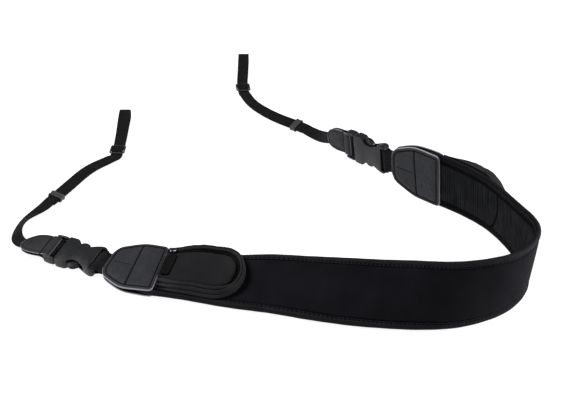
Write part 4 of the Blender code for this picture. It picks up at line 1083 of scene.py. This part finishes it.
def tri_glide_wave(u, tri_at):
    """The doubled webbing passes under the tri-glide's end bars and over its middle one."""
    away = np.abs(u - tri_at)
    reach = TRI_THICK / 2 + GAP + PLY_PITCH / 2 + TAIL_THICK / 2
    over = reach * (1 - 2 * ease(away, TRI_BAR / 2, TRI_LENGTH / 2 - TRI_BAR))
    after = -reach * (1 - ease(away, TRI_LENGTH / 2, TRI_REACH))
    return np.where(away < TRI_LENGTH / 2, over, after)


def tail_line(route, keeper_at, tri_at):
    """Side view of the tail: out along the top, round the end loop and back underneath."""
    end = route.length - EYE_RADIUS
    u = np.linspace(keeper_at - KEEPER_LENGTH / 2 - FREE_END, end, 400)
    middle = np.stack([u, tri_glide_wave(u, tri_at)], -1)
    top, bottom = offset_line(middle, PLY_PITCH / 2), offset_line(middle, -PLY_PITCH / 2)
    top[:, 1] += (2 * EYE_RADIUS - PLY_PITCH) * ease(top[:, 0], tri_at + TRI_LENGTH / 2, end)
    turn = arc((end, EYE_RADIUS - PLY_PITCH / 2), EYE_RADIUS, 84, -84, 20)
    first = np.linspace(TIP_END_AT - TAIL_HIDDEN, u[0] - 8, 60)
    return np.vstack([np.c_[first, 0 * first], top, turn, bottom[::-1]])


def looped(path, section, normal=(0, 0, 1)):
    """A closed band: a closed section of (outward, along the normal) carried round a flat path."""
    path, normal = np.asarray(path, float), np.asarray(normal, float)
    run = unit(np.roll(path, -1, axis=0) - np.roll(path, 1, axis=0))
    outward = np.cross(run, normal)
    outward *= np.sign(((path - path.mean(0)) * outward).sum())
    return path[:, None] + section[None, :, :1] * outward[:, None] + section[None, :, 1:] * normal


def rounded_box(half_x, half_y, corner, steps=6):
    """A rectangle with quarter-round corners, as points."""
    corners = ((half_x - corner, half_y - corner, 0), (corner - half_x, half_y - corner, 90),
               (corner - half_x, corner - half_y, 180), (half_x - corner, corner - half_y, 270))
    return np.vstack([arc((x, y), corner, start, start + 90, steps) for x, y, start in corners])


keeper_rubber = plastic("keeper_rubber", (0.0300, 0.0305, 0.0335), 0.5).done()
glide_plastic = plastic("glide_plastic", (0.0260, 0.0265, 0.0290), 0.32).done()
# The keeper: a rubber band with a raised rim along both its edges.
hole = rounded_box(TAIL_WIDTH / 2 + GAP + 0.05, PLY_PITCH / 2 + TAIL_THICK / 2 + GAP + 0.05, 0.6)
u = KEEPER_LENGTH / 2
rim_section = np.array([(0.05, 0.2 - u), (0.5, -u), (1.0, 0.05 - u), (1.3, 0.5 - u),
                        (1.25, 1.1 - u), (0.95, 1.6 - u), (0.9, 0), (0.95, u - 1.6),
                        (1.25, u - 1.1), (1.3, u - 0.5), (1.0, u - 0.05), (0.5, u),
                        (0.05, u - 0.2), (0, 0)])
keeper_ring = looped(np.c_[0 * hole[:, 0], hole], rim_section, normal=(1, 0, 0))
# The tri-glide: a rounded frame with a round bar across its middle.
corners = rounded_box(TRI_LENGTH / 2 - 1.0, TRI_WIDTH / 2 - 0.85, 1.9)
q = np.radians(np.arange(12) * 30)
glide_ring = looped(np.c_[corners, 0 * corners[:, 0]],
                    np.c_[0.92 * np.cos(q), TRI_THICK / 2 * np.sin(q)])
glide_bar = rod([(0, w, 0) for w in np.linspace(-6.6, 6.6, 5)], 0.95, flat=0.8, sides=12)


def set_part(route, at, points, closed=False):
    """A rigid part, given about its own middle, set at one place of the route."""
    points = points + (at, 0, 0)
    return Part(rigid(route, at, points), points, 0.0, closed)


for route, side, keeper_at, tri_at, upper in ((LEFT, "left", 192.0, 303.0, 1),
                                              (RIGHT, "right", 163.0, 278.0, -1)):
    line = resampled(tail_line(route, keeper_at, tri_at), RIB / 4) * (1, upper)
    beat = np.cos(2 * np.pi * np.arange(len(line)) / 4)[:, None]
    piece(f"{side}_webbing_tail",
          [band(route.lay, line, TAIL_WIDTH / 2, 0.0, TAIL_THICK, 0.05 * beat - 0.03, 0.12 * beat)],
          tail_weave, f"{side}_tail", sharp=60)

    piece(f"{side}_keeper_band", [set_part(route, keeper_at, keeper_ring, closed=True)],
          keeper_rubber, f"{side}_keeper")
    piece(f"{side}_tri_glide_frame",
          [set_part(route, tri_at, glide_ring, closed=True), set_part(route, tri_at, glide_bar)],
          glide_plastic, f"{side}_tri_glide")

# ---------------------------------------------------------------------- zip sliders and pulls
# A small dark nickel slider stands at the tab end of each zip. Its moulded pull is left plain:
# a black rubber tab with a raised border, laid across the panel.
SLIDER_AT, SLIDER_HALF_LENGTH, SLIDER_HALF, SLIDER_THICK = 63.0, 4.0, 2.6, 1.7
PULL_LENGTH, PULL_THICK, PULL_SHIFT, PULL_TURN = 29.0, 1.6, 2.5, -96.0
# distance from the slider, and half width of the pull there
PULL_HALF = np.array([(0, 0.9), (2.2, 1.1), (2.8, 1.8), (3.4, 3.2), (4.6, 4.3), (6, 4.6),
                      (27, 4.6), (28.2, 4.2), (28.8, 3.5), (29, 2.8)])

nickel = Finish("dark_nickel", (0.10, 0.10, 0.105), 0.30, Metallic=1.0)
nickel.raise_by(nickel.noise(1.5, 3), 0.03)
nickel.polish(nickel.noise(0.8, 3), 0.22, 0.42)
slider_metal = nickel.done()
pull_rubber = webbing("pull_rubber", (0.0022, 0.0022, 0.0028), (0.0040, 0.0040, 0.0048), 0.9,
                      0.05)

# Slider body: a rounded block, pinched in at its waist, with a bridge over it.
zip_w = FLAP_MIDDLE + FLAP_RADIUS + GAP + ZIP_WIDTH / 2
t, c = np.linspace(-1, 1, 13)[:, None], np.sin(np.linspace(-1, 1, 9) * np.pi / 2)
slider_a = SLIDER_AT + SLIDER_HALF_LENGTH * t + 0 * c
slider_w = zip_w + (SLIDER_HALF - 0.7 * dip(t, 0.35)) * np.sqrt(1.05 - t ** 8) * c
seat = 2 * GAP + 1.02 * pocket_height(slider_a)
crown = (0.35 + 0.65 * np.sqrt(1.02 - t ** 6) * (1 - c ** 8)) * SLIDER_THICK
slider_h = around(seat + crown, seat)
q = np.linspace(0, np.pi, 13)
bridge = np.stack([SLIDER_AT + 0.5 - 2.6 * np.cos(q), zip_w + 0 * q, 1.1 * np.sin(q)], -1)
bridge = rod(bridge, 0.55, normal=(0, 1, 0))
lift = 2 * GAP + 1.02 * pocket_height(SLIDER_AT) + 1.4

# The pull hangs from the slider at an angle; its face is cushioned, with a raised border line
# 0.8 mm inside the edge.
along = np.array([np.cos(np.radians(PULL_TURN)), np.sin(np.radians(PULL_TURN))])
beside = np.array([-along[1], along[0]])
start = np.array([SLIDER_AT + PULL_SHIFT, zip_w]) + (SLIDER_HALF + 3 * GAP) * along
t = stations(0.0, PULL_LENGTH, 1.0, 0.0, 3.2, PULL_LENGTH)[:, None]
half = np.interp(t, PULL_HALF[:, 0], PULL_HALF[:, 1])
c = np.sin(np.linspace(-1, 1, 21) * np.pi / 2)
pull_a = start[0] + t * along[0] + half * c * beside[0]
pull_w = start[1] + t * along[1] + half * c * beside[1]
rim_in = np.minimum(half * (1 - np.abs(c)), np.minimum(t - 1.5, PULL_LENGTH - t))
seat = np.maximum(2 * GAP + 1.09 * pocket_height(pull_a), 2.5)
crown = PULL_THICK * (0.55 + 0.45 * ease(rim_in, -0.2, 0.5)) + 0.18 * dip(rim_in - 0.8, 0.35)
pull_h = around(seat + crown, seat)

for end in ENDS:
    body = laid(end.lay, around(slider_a), around(slider_w), slider_h)
    arch = Part(end.lay(bridge[..., 0], bridge[..., 1], bridge[..., 2] + lift), bridge)
    piece(f"{end.name}_slider", [body, arch], slider_metal, f"{end.name}_zip_slider")
    piece(f"{end.name}_pull", [laid(end.lay, around(pull_a), around(pull_w), pull_h)],
          pull_rubber, f"{end.name}_zip_pull")

# ------------------------------------------------------------------------ floor, light, camera
# A plain white floor that glows a little, as on a light table, an even light from all round
# with a soft box at each side, and the camera where the strap is seen from a little above.
floor_mesh = bpy.data.meshes.new("floor")
floor_mesh.from_pydata([(-6, -6, 0), (6, -6, 0), (6, 6, 0), (-6, 6, 0)], [], [(0, 1, 2, 3)])
floor = link("floor", floor_mesh)
white = bpy.data.materials.new("floor_white")
white.use_nodes = True
for socket, value in (("Base Color", (0.3, 0.3, 0.3, 1)), ("Roughness", 0.9),
                      ("Emission Color", (1, 1, 1, 1)), ("Emission Strength", 0.92)):
    white.node_tree.nodes["Principled BSDF"].inputs[socket].default_value = value
floor_mesh.materials.append(white)

world = bpy.data.worlds.new("studio")
world.use_nodes = True
world.node_tree.nodes["Background"].inputs["Color"].default_value = (1, 1, 1, 1)
world.node_tree.nodes["Background"].inputs["Strength"].default_value = 0.22
bpy.context.scene.world = world
for name, place, size, power in (("key", (-0.95, -0.10, 1.20), 0.6, 24.0),
                                 ("side", (1.3, -0.15, 0.45), 0.5, 22.0)):
    lamp = bpy.data.lights.new(name, "AREA")
    lamp.size, lamp.energy = size, power
    light = link(name, lamp)
    light.location = place
    light.rotation_euler = (-Vector(place)).to_track_quat("-Z", "Y").to_euler()

bpy.context.scene.view_settings.view_transform = "Standard"
lens = bpy.data.cameras.new("camera")
lens.sensor_width, lens.lens = 36.0, 91.58
camera = link("camera", lens)
camera.location = (0.0168, -1.2842, 0.7418)
toward = Vector((0.0168, -0.0496, 0.0)) - camera.location
camera.rotation_euler = toward.to_track_quat("-Z", "Y").to_euler()
bpy.context.scene.camera = camera
